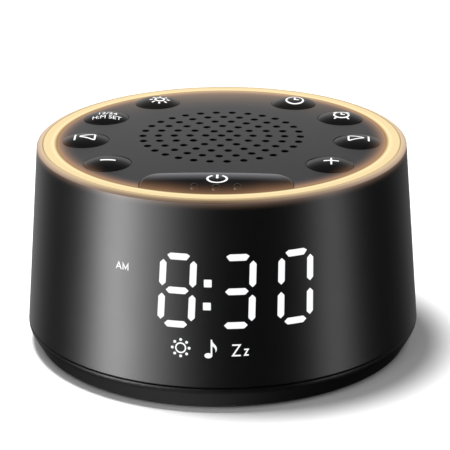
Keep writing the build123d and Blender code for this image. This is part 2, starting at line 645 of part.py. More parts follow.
def make_power_bar():
    undercut_z = PLATE_BOTTOM_Z + BUTTON_TRAVEL + BAR_LIFT_GAP
    tall = PLATE_CROWN_Z + BAR_RISE - CAP_BOTTOM_Z
    plan = bar_outline(0, BAR_OUTER_R)
    plan = fillet(plan.vertices().sort_by(Axis.Y)[:2], BAR_TIP_R)
    body = Pos(0, 0, CAP_BOTTOM_Z) * extrude(plan, tall) & bar_crown()
    body = fillet(body.faces().sort_by(Axis.Z)[-1].edges(), BAR_EDGE_FILLET)
    body -= disc(RING_OUTER_R, CAP_BOTTOM_Z, undercut_z)
    body += Pos(0, 0, PLATE_BOTTOM_Z) * extrude(bar_outline(0, BAR_UNDERCUT_R), undercut_z - PLATE_BOTTOM_Z)
    spread = BUTTON_GAP + CAP_FLANGE_OVERLAP
    body += Pos(0, 0, CAP_BOTTOM_Z) * extrude(bar_outline(spread, BAR_UNDERCUT_R), CAP_FLANGE)
    for side in (-1, 1):
        body += disc(STEM_R, PLUNGER_TOP_Z, CAP_BOTTOM_Z, (side * BAR_SWITCH_X, BAR_SWITCH_Y))
    for angle in BUMP_ANGLES:
        x, y = from_back(BUMP_CIRCLE_R, 180 - angle)
        body += Pos(x, y, bar_top_z(x, y) - BUMP_SINK) * Sphere(BUMP_R)
    return body


def switch_places():
    """Centres of the push switches: one per button, two under the bar."""
    places = [from_back(BUTTON_CIRCLE_R, angle) for angle in BUTTONS.values()]
    return places + [(side * BAR_SWITCH_X, BAR_SWITCH_Y) for side in (-1, 1)]


def make_key_switches():
    bore_depth = PLUNGER_SEAT + BUTTON_TRAVEL + PLUNGER_GAP
    switches = []
    for at in switch_places():
        can = block(*at, SWITCH_SIDE, SWITCH_SIDE, KEY_BOARD_TOP_Z, SWITCH_TOP_Z)
        switches.append(can - disc(PLUNGER_R + PLUNGER_GAP, SWITCH_TOP_Z - bore_depth, SWITCH_TOP_Z, at))
    return joined(switches)


def make_key_board():
    body = tube(KEY_BOARD_OUTER_R, KEY_BOARD_INNER_R, BULKHEAD_TOP_Z, KEY_BOARD_TOP_Z)
    tab_length = KEY_TAB_REACH + KEY_TAB_ROOT
    tab_x = KEY_BOARD_INNER_R - KEY_TAB_REACH + tab_length / 2
    body += block(tab_x, 0, tab_length, KEY_TAB_WIDTH, BULKHEAD_TOP_Z, KEY_BOARD_TOP_Z)
    for angle in POST_ANGLES:
        hole_r = DECK_SCREW_R + SCREW_CLEARANCE
        body -= disc(hole_r, BULKHEAD_TOP_Z, KEY_BOARD_TOP_Z, from_back(POST_CIRCLE_R, angle))
    return body


def make_deck_screws():
    return joined(
        screw(from_back(POST_CIRCLE_R, angle), BULKHEAD_BOTTOM_Z, DECK_SCREW_HEAD_R, DECK_SCREW_HEAD,
              DECK_SCREW_R, DECK_SCREW_LENGTH)
        for angle in POST_ANGLES
    )


def make_light_ring():
    """Flat glowing face, a fine groove, a rounded shoulder and the skirt in the light trough."""
    step_r = inner_r(SHELL_TOP_Z) - RING_STEP_GAP
    skirt_r = RING_INNER_R + RING_SKIRT
    flange_z = RING_TOP_Z - RING_FLANGE
    skirt_z = RING_TOP_Z - RING_SKIRT_DEPTH
    face_r = RING_OUTER_R - RING_SHOULDER
    shoulder_r = face_r + RING_GROOVE
    groove_z = RING_TOP_Z - RING_GROOVE_DEPTH
    width = RING_OUTER_R - shoulder_r
    round_r = (width ** 2 + RING_SHOULDER_DROP ** 2) / (2 * RING_SHOULDER_DROP)
    half = asin(width / round_r) / 2
    start = (shoulder_r, RING_TOP_Z)
    middle = (shoulder_r + round_r * sin(half), RING_TOP_Z - round_r * (1 - cos(half)))
    end = (RING_OUTER_R, RING_TOP_Z - RING_SHOULDER_DROP)
    outline = make_face(
        Polyline(end, (RING_OUTER_R, SHELL_TOP_Z), (step_r, SHELL_TOP_Z), (step_r, flange_z),
                 (skirt_r, flange_z), (skirt_r, skirt_z), (RING_INNER_R, skirt_z),
                 (RING_INNER_R, RING_TOP_Z), (face_r, RING_TOP_Z), (face_r, groove_z),
                 (shoulder_r, groove_z), start)
        + ThreePointArc(start, middle, end)
    )
    return revolve(Plane.XZ * outline, Axis.Z)


def ring_led_angles():
    return [(index + 0.5) * 360 / RING_LED_COUNT for index in range(RING_LED_COUNT)]


def ring_led_r():
    """Middle of the channel between the trough's two walls."""
    return (TROUGH_INNER_R + TROUGH_OUTER_R) / 2


def make_light_trough():
    floor_z = KEY_BOARD_TOP_Z + TROUGH_WALL
    body = tube(TROUGH_OUTER_R, TROUGH_INNER_R, KEY_BOARD_TOP_Z, floor_z)
    body += tube(TROUGH_INNER_R + TROUGH_WALL, TROUGH_INNER_R, KEY_BOARD_TOP_Z, PLATE_BOTTOM_Z)
    outer_top = RING_TOP_Z - RING_FLANGE
    body += tube(TROUGH_OUTER_R, TROUGH_OUTER_R - TROUGH_WALL, KEY_BOARD_TOP_Z, outer_top)
    length = RING_LED_SIZE[0] + 2 * LED_WINDOW_GAP
    width = RING_LED_SIZE[1] + 2 * LED_WINDOW_GAP
    window = block(0, ring_led_r(), length, width, KEY_BOARD_TOP_Z, floor_z)
    windows = [Rot(0, 0, -angle) * window for angle in ring_led_angles()]
    return body - windows


def make_ring_leds():
    length, width, height = RING_LED_SIZE
    led = block(0, ring_led_r(), length, width, KEY_BOARD_TOP_Z, KEY_BOARD_TOP_Z + height)
    return joined(Rot(0, 0, -angle) * led for angle in ring_led_angles())


# ---- Speaker ----

def make_grille_cloth():
    return disc(SPEAKER_MOUTH_R + GASKET_INSET - CLOTH_GAP, PLATE_BOTTOM_Z - CLOTH, PLATE_BOTTOM_Z)


def make_speaker_gasket():
    return tube(SPEAKER_R - GASKET_INSET, SPEAKER_MOUTH_R + GASKET_INSET, FLANGE_TOP_Z, PLATE_BOTTOM_Z)


def make_speaker_basket():
    foot_top = BASKET_BOTTOM_Z + BASKET_SHEET
    body = spin(
        (SPEAKER_R, FLANGE_TOP_Z),
        (SPEAKER_R, FLANGE_BOTTOM_Z),
        (SPEAKER_MOUTH_R + BASKET_SHEET, FLANGE_BOTTOM_Z),
        (BASKET_FOOT_R + BASKET_SHEET, BASKET_BOTTOM_Z),
        (BASKET_BORE_R, BASKET_BOTTOM_Z),
        (BASKET_BORE_R, foot_top),
        (SPIDER_LEDGE_R, foot_top),
        (SPIDER_LEDGE_R, LEDGE_Z),
        (BASKET_FOOT_R, LEDGE_Z),
        (SPEAKER_MOUTH_R, FLANGE_BOTTOM_Z),
        (SPEAKER_MOUTH_R, FLANGE_TOP_Z),
    )
    window_z = FLANGE_BOTTOM_Z - BASKET_WINDOW_DROP
    window = Pos(SPEAKER_MOUTH_R, 0, window_z) * Box(*BASKET_WINDOW)
    body -= [Rot(0, 0, angle) * window for angle in COLUMN_ANGLES]
    length, width, height = TERMINAL_SIZE
    tab_top = FLANGE_BOTTOM_Z - TERMINAL_DROP + height
    tab_x = -(BASKET_FOOT_R + BASKET_SHEET + length / 2)
    return body + block(tab_x, SPEAKER_SOCKET[1], length, width, tab_top - height, tab_top)


def make_speaker_cone():
    return spin(
        (CONE_NECK_R, CONE_NECK_Z - CONE_SHEET),
        (CONE_R, CONE_RIM_Z - CONE_SHEET),
        (CONE_R, CONE_RIM_Z),
        (CONE_NECK_R, CONE_NECK_Z),
    )


def make_speaker_surround():
    """Soft edge that climbs from the cone's rim to the basket's flange."""
    inner = CONE_R - 2 * SURROUND_SHEET
    outer = SPEAKER_MOUTH_R - GLUE_GAP
    third = (outer - CONE_R) / 3
    low = CONE_RIM_Z + GLUE_GAP
    high = FLANGE_TOP_Z - SURROUND_SHEET
    path = [(inner, low), (CONE_R + third / 2, low), (CONE_R + 2 * third, high - SURROUND_SHEET),
            (outer, high - SURROUND_SHEET)]
    back = [(radius, z + SURROUND_SHEET) for radius, z in reversed(path)]
    return spin(*path, *back)


def make_dust_cap():
    """Thin dome glued over the coil: a cut from a hollow ball."""
    slope = CONE_HEIGHT / (CONE_R - CONE_NECK_R)
    rim_z = CONE_NECK_Z + slope * (DUST_CAP_R - CONE_NECK_R) + GLUE_GAP
    ball = (DUST_CAP_R ** 2 + DUST_CAP_RISE ** 2) / (2 * DUST_CAP_RISE)
    centre_z = rim_z + DUST_CAP_RISE - ball
    hollow = Sphere(ball) - Sphere(ball - DUST_CAP_SHEET)
    return Pos(0, 0, centre_z) * hollow & disc(DUST_CAP_R, rim_z, rim_z + DUST_CAP_RISE)


def make_speaker_spider():
    """Corrugated centring disc between the voice coil and the basket's ledge."""
    wave_start = COIL_OUTER_R + SPIDER_GAP
    wave_end = SPIDER_LEDGE_R - SPIDER_SHEET
    low = LEDGE_Z + GLUE_GAP
    path = []
    for step in range(SPIDER_STEPS + 1):
        share = step / SPIDER_STEPS
        radius = wave_start + share * (wave_end - wave_start)
        wave = SPIDER_WAVE * sin(2 * pi * SPIDER_WAVES * share)
        path.append((radius, low + SPIDER_RISE * (1 - share) + wave))
    path.append((BASKET_FOOT_R - SPIDER_EDGE_GAP, low))
    back = [(radius, z + SPIDER_SHEET) for radius, z in reversed(path)]
    return spin(*path, *back)


def make_voice_coil():
    low = BASKET_BOTTOM_Z - COIL_BELOW_BASKET
    former = tube(COIL_OUTER_R, COIL_INNER_R, low, CONE_NECK_Z)
    winding_low = low + CONE_TRAVEL
    winding = tube(WINDING_R, COIL_INNER_R, winding_low, winding_low + COIL_WINDING_HEIGHT)
    return former + winding


def make_speaker_washer():
    return tube(MAGNET_R, POLE_PLATE_BORE_R, POLE_PLATE_BOTTOM_Z, BASKET_BOTTOM_Z)


def make_speaker_magnet():
    return tube(MAGNET_R, MAGNET_BORE_R, MAGNET_BOTTOM_Z, POLE_PLATE_BOTTOM_Z)


def make_speaker_yoke():
    plate = disc(MAGNET_R, MAGNET_BOTTOM_Z - BACK_PLATE, MAGNET_BOTTOM_Z)
    return plate + disc(POLE_R, MAGNET_BOTTOM_Z, BASKET_BOTTOM_Z)


def make_speaker_screws():
    screws = []
    for angle in SPEAKER_SCREW_ANGLES:
        at = from_back(SPEAKER_SCREW_CIRCLE_R, angle)
        washer = disc(SPEAKER_WASHER_R, FLANGE_BOTTOM_Z - SPEAKER_WASHER, FLANGE_BOTTOM_Z, at)
        head = SPEAKER_HEAD + SPEAKER_WASHER
        screws.append(washer + screw(at, FLANGE_BOTTOM_Z, SPEAKER_HEAD_R, head, SPEAKER_SCREW_R,
                                     SPEAKER_SCREW_LENGTH))
    return joined(screws)


# ---- Clock display ----

def curved_sheet(outside, thickness, low, high):
    """Strip that follows the inside of the housing across the clock's width."""
    sheet = spin(
        (inner_r(low) - outside, low),
        (inner_r(high) - outside, high),
        (inner_r(high) - outside - thickness, high),
        (inner_r(low) - outside - thickness, low),
        arc=DISPLAY_RIGHT - DISPLAY_LEFT,
    )
    return Rot(0, 0, DISPLAY_LEFT - 90) * sheet


def segment_centres():
    """Across, up and whether upright, for the seven segments of a digit."""
    high = (DIGIT_HEIGHT - SEGMENT) / 2
    side = (DIGIT_WIDTH - SEGMENT) / 2
    flat = [(0, level * high, False) for level in (-1, 0, 1)]
    upright = [(across * side, level * high / 2, True) for across in (-1, 1) for level in (-1, 1)]
    return flat + upright


def slanted(x, z):
    """Point of a digit leaned to the right."""
    return x + z * tan(radians(DIGIT_SLANT)), z


def segment_outline(x, z, upright):
    """Bar with pointed ends."""
    span = (DIGIT_HEIGHT - SEGMENT) / 2 if upright else DIGIT_WIDTH - SEGMENT
    half = (span - SEGMENT_GAP) / 2
    tip = SEGMENT / 2
    shape = [(-half, 0), (tip - half, tip), (half - tip, tip), (half, 0), (half - tip, -tip),
             (tip - half, -tip)]
    if upright:
        shape = [(across, along) for along, across in shape]
    points = [slanted(x + dx, z + dz) for dx, dz in shape]
    return make_face(Polyline(*points, close=True))


def well(angle, middle_z, outline):
    """Light well of the reflector, cut outwards at an angle from the front."""
    start = inner_r(middle_z) - 2 * REFLECTOR
    prism = extrude(Plane.XZ * outline, 3 * REFLECTOR)
    return Rot(0, 0, angle) * Pos(0, -start, middle_z) * prism


def clock_lights():
    """Angle, across, level and light well outline of every lamp of the clock."""
    lights = []
    for angle in DIGIT_ANGLES:
        for x, z, upright in segment_centres():
            lights.append((angle, *slanted(x, z), DIGIT_MIDDLE_Z, segment_outline(x, z, upright)))
    for side in (-1, 1):
        x, z = slanted(0, side * COLON_SPREAD / 2)
        outline = Pos(x, z) * Rectangle(COLON_SIDE, COLON_SIDE)
        lights.append((COLON_ANGLE, x, z, DIGIT_MIDDLE_Z, outline))
    for angle, width, height in ICON_WELLS:
        lights.append((angle, 0, 0, ICON_Z, Rectangle(width, height)))
    angle, rise, width, height = MARKER_WELL
    lights.append((angle, 0, 0, DIGIT_MIDDLE_Z + rise, Rectangle(width, height)))
    return lights


def make_display_film():
    return curved_sheet(DISPLAY_GAP, FILM, DISPLAY_BOTTOM_Z, DISPLAY_TOP_Z)


def make_display_reflector():
    """Black block with one light well for each lamp."""
    body = curved_sheet(REFLECTOR_INSET, REFLECTOR, DISPLAY_BOTTOM_Z, DISPLAY_TOP_Z)
    return body - [well(angle, level, outline) for angle, x, z, level, outline in clock_lights()]


def make_display_flex():
    return curved_sheet(FLEX_INSET, FLEX, DISPLAY_BOTTOM_Z, DISPLAY_TOP_Z)


def make_display_leds():
    length, depth, height = CLOCK_LED
    leds = []
    for angle, x, z, level, outline in clock_lights():
        lamp_z = level + z
        back = inner_r(lamp_z) - FLEX_INSET + CLOCK_LED_GAP
        turn = angle + degrees(atan(x / back))
        leds.append(Rot(0, 0, turn) * Pos(0, -back - depth / 2, lamp_z) * Box(length, depth, height))
    return joined(leds)


# ---- Electronics ----

def on_board(part):
    """Block-shaped part on the main board."""
    x, y, length, width, height = part
    return block(x, y, length, width, BOARD_TOP_Z, BOARD_TOP_Z + height)


def socket_mouth_y():
    """Mouth of the power socket, just inside the housing."""
    corner = USB_WIDTH / 2
    return sqrt((inner_r(USB_Z + USB_HEIGHT / 2) - USB_INSET) ** 2 - corner ** 2)


def make_main_board():
    body = disc(BOARD_R, BOARD_BOTTOM_Z, BOARD_TOP_Z)
    tongue_end = socket_mouth_y() - USB_INSET
    body += block(0, tongue_end / 2, BOARD_TONGUE, tongue_end, BOARD_BOTTOM_Z, BOARD_TOP_Z)
    for angle in STANDOFF_ANGLES:
        hole_r = BOARD_SCREW_R + SCREW_CLEARANCE
        body -= disc(hole_r, BOARD_BOTTOM_Z, BOARD_TOP_Z, from_back(STANDOFF_CIRCLE_R, angle))
    return body


def make_main_board_screws():
    return joined(
        screw(from_back(STANDOFF_CIRCLE_R, angle), BOARD_TOP_Z, BOARD_SCREW_HEAD_R, BOARD_SCREW_HEAD,
              BOARD_SCREW_R, BOARD_SCREW_LENGTH, direction=-1)
        for angle in STANDOFF_ANGLES
    )


def make_usb_socket():
    """Metal can with an open mouth at the back and a contact tongue inside."""
    can = extrude(inlet_outline(USB_WIDTH, USB_HEIGHT, USB_Z), USB_DEPTH)
    cavity = extrude(inlet_outline(USB_WIDTH - 2 * USB_SHEET, USB_HEIGHT - 2 * USB_SHEET, USB_Z),
                     USB_CAVITY_DEPTH)
    width, height, reach = USB_TONGUE
    tongue = Pos(0, reach / 2 - USB_CAVITY_DEPTH, USB_Z) * Box(width, reach, height)
    return Pos(0, socket_mouth_y(), 0) * (can - cavity + tongue)


def make_capacitors():
    top = BOARD_TOP_Z + CAPACITOR_HEIGHT
    return joined(disc(CAPACITOR_R, BOARD_TOP_Z, top, at) for at in CAPACITORS)


def make_coin_cell_holder():
    cell_bottom = FLOOR_Z + CELL_LIFT
    cell_top = cell_bottom + CELL_HEIGHT
    at = (CELL_X, CELL_Y)
    body = disc(CELL_R + CELL_GAP + HOLDER_WALL, FLOOR_Z + HOLDER_LIFT, BOARD_BOTTOM_Z, at)
    return body - disc(CELL_R + CELL_GAP, FLOOR_Z, cell_top + CELL_GAP, at)


def make_coin_cell():
    low = FLOOR_Z + CELL_LIFT
    return disc(CELL_R, low, low + CELL_HEIGHT, (CELL_X, CELL_Y))


# ---- Wiring ----

def make_key_ribbon():
    start_x = KEY_BOARD_INNER_R - KEY_TAB_REACH + KEY_RIBBON_INSET
    end_x = KEY_SOCKET[0]
    low = BOARD_TOP_Z + KEY_SOCKET[4]
    third = (BULKHEAD_TOP_Z - low) / 3
    path = FilletPolyline(
        (start_x, BULKHEAD_TOP_Z), (start_x, BULKHEAD_TOP_Z - third), (end_x, low + third),
        (end_x, low), radius=RIBBON_BEND_R,
    )
    strip = extrude(Plane.XZ * trace(path, line_width=RIBBON), KEY_RIBBON_WIDTH)
    return Pos(0, KEY_RIBBON_WIDTH / 2, 0) * strip


def make_display_ribbon():
    flex_y = FLEX_INSET + FLEX / 2 - inner_r(DISPLAY_BOTTOM_Z)
    socket_y = DISPLAY_SOCKET[1] - DISPLAY_SOCKET[3] / 2
    level = BOARD_TOP_Z + DISPLAY_SOCKET[4] / 2
    path = FilletPolyline((flex_y, DISPLAY_BOTTOM_Z), (flex_y, level), (socket_y, level),
                          radius=DISPLAY_RIBBON_BEND_R)
    strip = extrude(Plane.YZ * trace(path, line_width=RIBBON), DISPLAY_RIBBON_WIDTH)
    return Pos(-DISPLAY_RIBBON_WIDTH / 2, 0, 0) * strip


def make_speaker_leads():
    start_z = FLANGE_BOTTOM_Z - TERMINAL_DROP
    end_z = BOARD_TOP_Z + SPEAKER_SOCKET[4]
    start_x = -(BASKET_FOOT_R + BASKET_SHEET + TERMINAL_SIZE[0] - LEAD_INSET)
    end_x = SPEAKER_SOCKET[0]
    third = (start_z - end_z) / 3
    leads = []
    for side in (-1, 1):
        y = SPEAKER_SOCKET[1] + side * LEAD_SPACING / 2
        path = FilletPolyline((start_x, y, start_z), (start_x, y, start_z - third),
                              (end_x, y, end_z + third), (end_x, y, end_z), radius=LEAD_BEND_R)
        leads.append(sweep(Plane(origin=path @ 0, z_dir=path % 0) * Circle(LEAD_R), path))
    return joined(leads)


parts = {
    "shell": make_shell(),
    "base": make_base(),
    "battery_door": make_battery_door(),
    "battery_door_screw": make_battery_door_screw(),
    "foot_pads": make_foot_pads(),
    "base_screws": make_base_screws(),
    "top_plate": make_top_plate(),
    "power_bar": make_power_bar(),
    "bar_plungers": joined(make_plunger((side * BAR_SWITCH_X, BAR_SWITCH_Y)) for side in (-1, 1)),
    "key_switches": make_key_switches(),
    "key_board": make_key_board(),
    "deck_screws": make_deck_screws(),
    "light_ring": make_light_ring(),
    "light_trough": make_light_trough(),
    "ring_leds": make_ring_leds(),
    "grille_cloth": make_grille_cloth(),
    "speaker_gasket": make_speaker_gasket(),
    "speaker_basket": make_speaker_basket(),
    "speaker_cone": make_speaker_cone(),
    "speaker_surround": make_speaker_surround(),
    "dust_cap": make_dust_cap(),
    "speaker_spider": make_speaker_spider(),
    "voice_coil": make_voice_coil(),
    "speaker_washer": make_speaker_washer(),
    "speaker_magnet": make_speaker_magnet(),
    "speaker_yoke": make_speaker_yoke(),
    "speaker_screws": make_speaker_screws(),
    "display_film": make_display_film(),
    "display_reflector": make_display_reflector(),
    "display_flex": make_display_flex(),
    "display_leds": make_display_leds(),
    "main_board": make_main_board(),
    "main_board_screws": make_main_board_screws(),
    "usb_socket": make_usb_socket(),
    "controller_chip": on_board(CONTROLLER),
    "amplifier_chip": on_board(AMPLIFIER),
    "board_capacitors": make_capacitors(),
    "board_connectors": joined(on_board(part) for part in (KEY_SOCKET, DISPLAY_SOCKET, SPEAKER_SOCKET)),
    "coin_cell_holder": make_coin_cell_holder(),
    "coin_cell": make_coin_cell(),
    "key_ribbon": make_key_ribbon(),
    "display_ribbon": make_display_ribbon(),
    "speaker_leads": make_speaker_leads(),
}
for name, angle in BUTTONS.items():
    parts[name] = make_button(angle)
    parts[name.replace("_button", "_plunger")] = make_plunger(from_back(BUTTON_CIRCLE_R, angle))

os.makedirs("parts", exist_ok=True)
for name, shape in parts.items():
    export_step(shape, f"parts/{name}.step")
print(len(parts), "sub-parts written")
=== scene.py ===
# %% [markdown]
# # A bedside white noise machine
# The machine is a squat drum. Its housing is smoked black plastic that a clock shines through, a
# milky ring of light runs round the top, and inside the ring lies a domed deck with eight round
# buttons, a crescent power bar and a speaker grille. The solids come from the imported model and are
# never changed here. This script gives them their finishes and adds what is printed on them or
# shines through them. Everything is in metres, and small sizes are written in millimetres times MM.

# %% Load the solid model and keep its box
import json
from math import cos, pi, radians, sin, tan

import bmesh
import bpy
from mathutils import Matrix, Vector
from mathutils.bvhtree import BVHTree


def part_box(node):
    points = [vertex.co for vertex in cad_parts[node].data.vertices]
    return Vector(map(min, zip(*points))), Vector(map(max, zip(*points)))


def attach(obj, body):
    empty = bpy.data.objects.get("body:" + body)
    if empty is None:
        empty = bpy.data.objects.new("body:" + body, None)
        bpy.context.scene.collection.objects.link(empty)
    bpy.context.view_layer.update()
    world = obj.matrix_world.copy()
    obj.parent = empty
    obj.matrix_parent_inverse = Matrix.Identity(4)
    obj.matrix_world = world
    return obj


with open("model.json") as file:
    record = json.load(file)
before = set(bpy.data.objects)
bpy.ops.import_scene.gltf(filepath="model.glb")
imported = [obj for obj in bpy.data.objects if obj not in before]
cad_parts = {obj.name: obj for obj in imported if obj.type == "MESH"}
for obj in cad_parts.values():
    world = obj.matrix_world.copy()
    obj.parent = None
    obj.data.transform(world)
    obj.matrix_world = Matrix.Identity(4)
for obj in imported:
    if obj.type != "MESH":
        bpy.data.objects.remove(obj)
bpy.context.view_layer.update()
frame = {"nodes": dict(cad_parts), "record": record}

MM = 0.001
nodes = frame["nodes"]
print(len(nodes), "solids loaded")

# %% [markdown]
# ## Sizes that the finishes need
# The housing is a plain cone between its seam and the top of the ring, so two radii and two heights
# describe the wall that the clock shines through. They are read from the solids, not typed again. Only
# the width of the ring is written here, because the ring's box doesn't tell it.

# %% Measure the ring, the housing and the deck
ring_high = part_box("light_ring")[1]
shell_low, shell_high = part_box("shell")
plate_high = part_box("top_plate")[1]
RING_TOP = ring_high.z
RING_WIDTH = 5.4 * MM
RING_OUTER = ring_high.x
RING_INNER = RING_OUTER - RING_WIDTH
LIP_Z = shell_high.z
SEAM_Z = shell_low.z
SEAM_R = shell_high.x


def wall_r(z):
    """Outside radius of the housing at a height."""
    return RING_OUTER + (SEAM_R - RING_OUTER) * (RING_TOP - z) / (RING_TOP - SEAM_Z)


print("ring top %.4f, wall %.4f at the lip and %.4f at the seam" % (RING_TOP, wall_r(LIP_Z), SEAM_R))

# %% [markdown]
# ## Camera
# A long lens from a little above keeps the drum's sides nearly parallel. The camera is placed by a
# heading, a pitch and a small roll instead of a tracking constraint, because those three turns can be
# set one after the other. A first helper links new things to the scene, and all later steps use it.

# %% Place the camera
CAMERA_PLACE = Vector((22.22 * MM, -576.94 * MM, RING_TOP + 188.99 * MM))
CAMERA_HEADING = radians(2.1293)
CAMERA_PITCH = radians(20.326)
CAMERA_ROLL = radians(-0.3787)
LENS = 179.13            # millimetres, on a sensor of the width below
SENSOR_WIDTH = 36.0


def put_up(name, data):
    """New object in the scene for a camera, a lamp, a text or a mesh."""
    made = bpy.data.objects.new(name, data)
    bpy.context.collection.objects.link(made)
    return made


camera_data = bpy.data.cameras.new("camera")
camera_data.lens = LENS
camera_data.sensor_width = SENSOR_WIDTH
camera_data.clip_start = 0.01
camera = put_up("camera", camera_data)
camera.matrix_world = (
    Matrix.Translation(CAMERA_PLACE)
    @ Matrix.Rotation(CAMERA_HEADING, 4, "Z")
    @ Matrix.Rotation(pi / 2 - CAMERA_PITCH, 4, "X")
    @ Matrix.Rotation(CAMERA_ROLL, 4, "Z")
)
bpy.context.scene.camera = camera
bpy.context.scene.view_settings.view_transform = "Standard"
print("camera %.3f m from the ring" % (CAMERA_PLACE - Vector((0, 0, RING_TOP))).length)

# %% [markdown]
# ## Small helpers for materials
# Materials here are node trees. Three short helpers keep them readable: one adds a node with its
# settings, one joins two sockets, and one adds a maths node whose inputs may be numbers or sockets.
# The others build on them: lengths, ramps, mixes of colours, the place on a piece and node groups with
# named sockets. They could be clicked together by hand, but a script can repeat them.

# %% Helpers for node trees


def add(tree, kind, **settings):
    """New shader node with attributes set by name."""
    made = tree.nodes.new("ShaderNode" + kind)
    for key, value in settings.items():
        setattr(made, key, value)
    return made


def put(tree, socket, value):
    """Link a socket to an input, or set the input to a plain value."""
    if isinstance(value, bpy.types.NodeSocket):
        tree.links.new(value, socket)
    else:
        socket.default_value = value


def calc(tree, operation, *values, clamp=False):
    """Maths node; returns its output."""
    made = add(tree, "Math", operation=operation, use_clamp=clamp)
    for socket, value in zip(made.inputs, values):
        put(tree, socket, value)
    return made.outputs[0]


print("helpers for nodes ready")

# %% Helpers that measure and mix


def squares(tree, first, second):
    """Sum of the squares of two values."""
    return calc(tree, "ADD", calc(tree, "MULTIPLY", first, first), calc(tree, "MULTIPLY", second, second))


def length_of(tree, first, second):
    """Length of the flat vector of two values."""
    return calc(tree, "SQRT", squares(tree, first, second))


def ramp(tree, value, start, rise):
    """Share that grows from 0 at the start to 1 a rise further on; a minus rise turns it round."""
    return calc(tree, "DIVIDE", calc(tree, "SUBTRACT", value, start), rise, clamp=True)


def blend_colours(tree, share, first, second):
    """Mix two colours by a share; returns the colour output."""
    made = add(tree, "Mix", data_type="RGBA")
    put(tree, made.inputs[0], share)
    put(tree, made.inputs[6], first)
    put(tree, made.inputs[7], second)
    return made.outputs[2]


def rgb(red, green, blue):
    """Opaque colour."""
    return (red, green, blue, 1.0)


def grey(level):
    """Opaque neutral colour."""
    return rgb(level, level, level)


def place_on(tree):
    """Place on the surface, in metres from the machine's own middle."""
    return add(tree, "TexCoord").outputs["Object"]


def place_axes(tree):
    """The same place as separate x, y and z."""
    split = add(tree, "SeparateXYZ")
    put(tree, split.inputs[0], place_on(tree))
    return split.outputs


print("middle grey is written", grey(0.5))

# %% Helpers for node groups


def new_group(name, inputs, outputs):
    """Empty node group with named sockets; returns the group and its two end nodes."""
    group = bpy.data.node_groups.new(name, "ShaderNodeTree")
    for label, value in inputs.items():
        kind = "NodeSocketColor" if isinstance(value, tuple) else "NodeSocketFloat"
        group.interface.new_socket(label, in_out="INPUT", socket_type=kind).default_value = value
    for label, kind in outputs.items():
        group.interface.new_socket(label, in_out="OUTPUT", socket_type="NodeSocket" + kind)
    return group, group.nodes.new("NodeGroupInput"), group.nodes.new("NodeGroupOutput")


def use_group(tree, group, **values):
    """Place a group in a material with its own values."""
    made = add(tree, "Group", node_tree=group)
    for label, value in values.items():
        put(tree, made.inputs[label], value)
    return made


print("node groups so far:", len(bpy.data.node_groups))

# %% [markdown]
# ## Moulded grain
# Injection moulds are spark eroded, so plastic comes out with a fine pebble grain. A picture of grain
# would need unwrapping and show seams, so a noise gives the pebbles, and a second, larger noise makes
# them deeper in some places than in others. The group puts out a height for a Bump node and a mask for
# colour, and every plastic here uses it with its own size.

# %% Build the moulded grain group
moulded_grain, grain_in, grain_out = new_group(
    "moulded grain", {"Size": 0.0003, "Unevenness": 0.3}, {"Height": "Float", "Mask": "Float"})
place = place_on(moulded_grain)
per_metre = calc(moulded_grain, "DIVIDE", 1.0, grain_in.outputs["Size"])
pebbles = add(moulded_grain, "TexNoise")
pebbles.inputs["Detail"].default_value = 2.0
put(moulded_grain, pebbles.inputs["Vector"], place)
put(moulded_grain, pebbles.inputs["Scale"], per_metre)
drift = add(moulded_grain, "TexNoise")
drift.inputs["Scale"].default_value = 180.0
put(moulded_grain, drift.inputs["Vector"], place)
centred = calc(moulded_grain, "SUBTRACT", drift.outputs[0], 0.5)
swell = calc(moulded_grain, "MULTIPLY_ADD", centred, grain_in.outputs["Unevenness"], 1.0)
put(moulded_grain, grain_out.inputs["Height"], calc(moulded_grain, "MULTIPLY", pebbles.outputs[0], swell))
specks = add(moulded_grain, "MapRange")
specks.inputs["From Min"].default_value = 0.52
specks.inputs["From Max"].default_value = 0.72
put(moulded_grain, specks.inputs["Value"], pebbles.outputs[0])
put(moulded_grain, grain_out.inputs["Mask"], specks.outputs[0])
print("group", moulded_grain.name, "has", len(moulded_grain.nodes), "nodes")

# %% [markdown]
# ## Handling marks
# Fingers and cloths polish plastic unevenly. The marks are large and weak, so they only move the
# roughness a little. A distorted noise does it, and the group is shared by plastics and metals.

# %% Build the handling marks group
handling_marks, marks_in, marks_out = new_group(
    "handling marks", {"Roughness": 0.5, "Amount": 0.06, "Scale": 60.0}, {"Roughness": "Float"})
smears = add(handling_marks, "TexNoise")
smears.inputs["Detail"].default_value = 4.0
smears.inputs["Distortion"].default_value = 0.6
put(handling_marks, smears.inputs["Vector"], place_on(handling_marks))
put(handling_marks, smears.inputs["Scale"], marks_in.outputs["Scale"])
shift = calc(handling_marks, "MULTIPLY", calc(handling_marks, "SUBTRACT", smears.outputs[0], 0.5),
             marks_in.outputs["Amount"])
put(handling_marks, marks_out.inputs["Roughness"],
    calc(handling_marks, "ADD", marks_in.outputs["Roughness"], shift, clamp=True))
print("group", handling_marks.name, "has", len(handling_marks.nodes), "nodes")

# %% [markdown]
# ## The ring's glow on its neighbours
# The lit ring spills warm light onto the plastic next to it. Real spill would need a very bright lamp
# inside the ring, which would also tint the rest of the scene, so the spill is painted as emission that
# fades with the distance from the ring. The group works that distance out from the place on the
# surface: across to the ring's inner or outer edge, and down from its lip. A second, wide haze lies on
# the far part of the deck, where the ring's light skims across it.

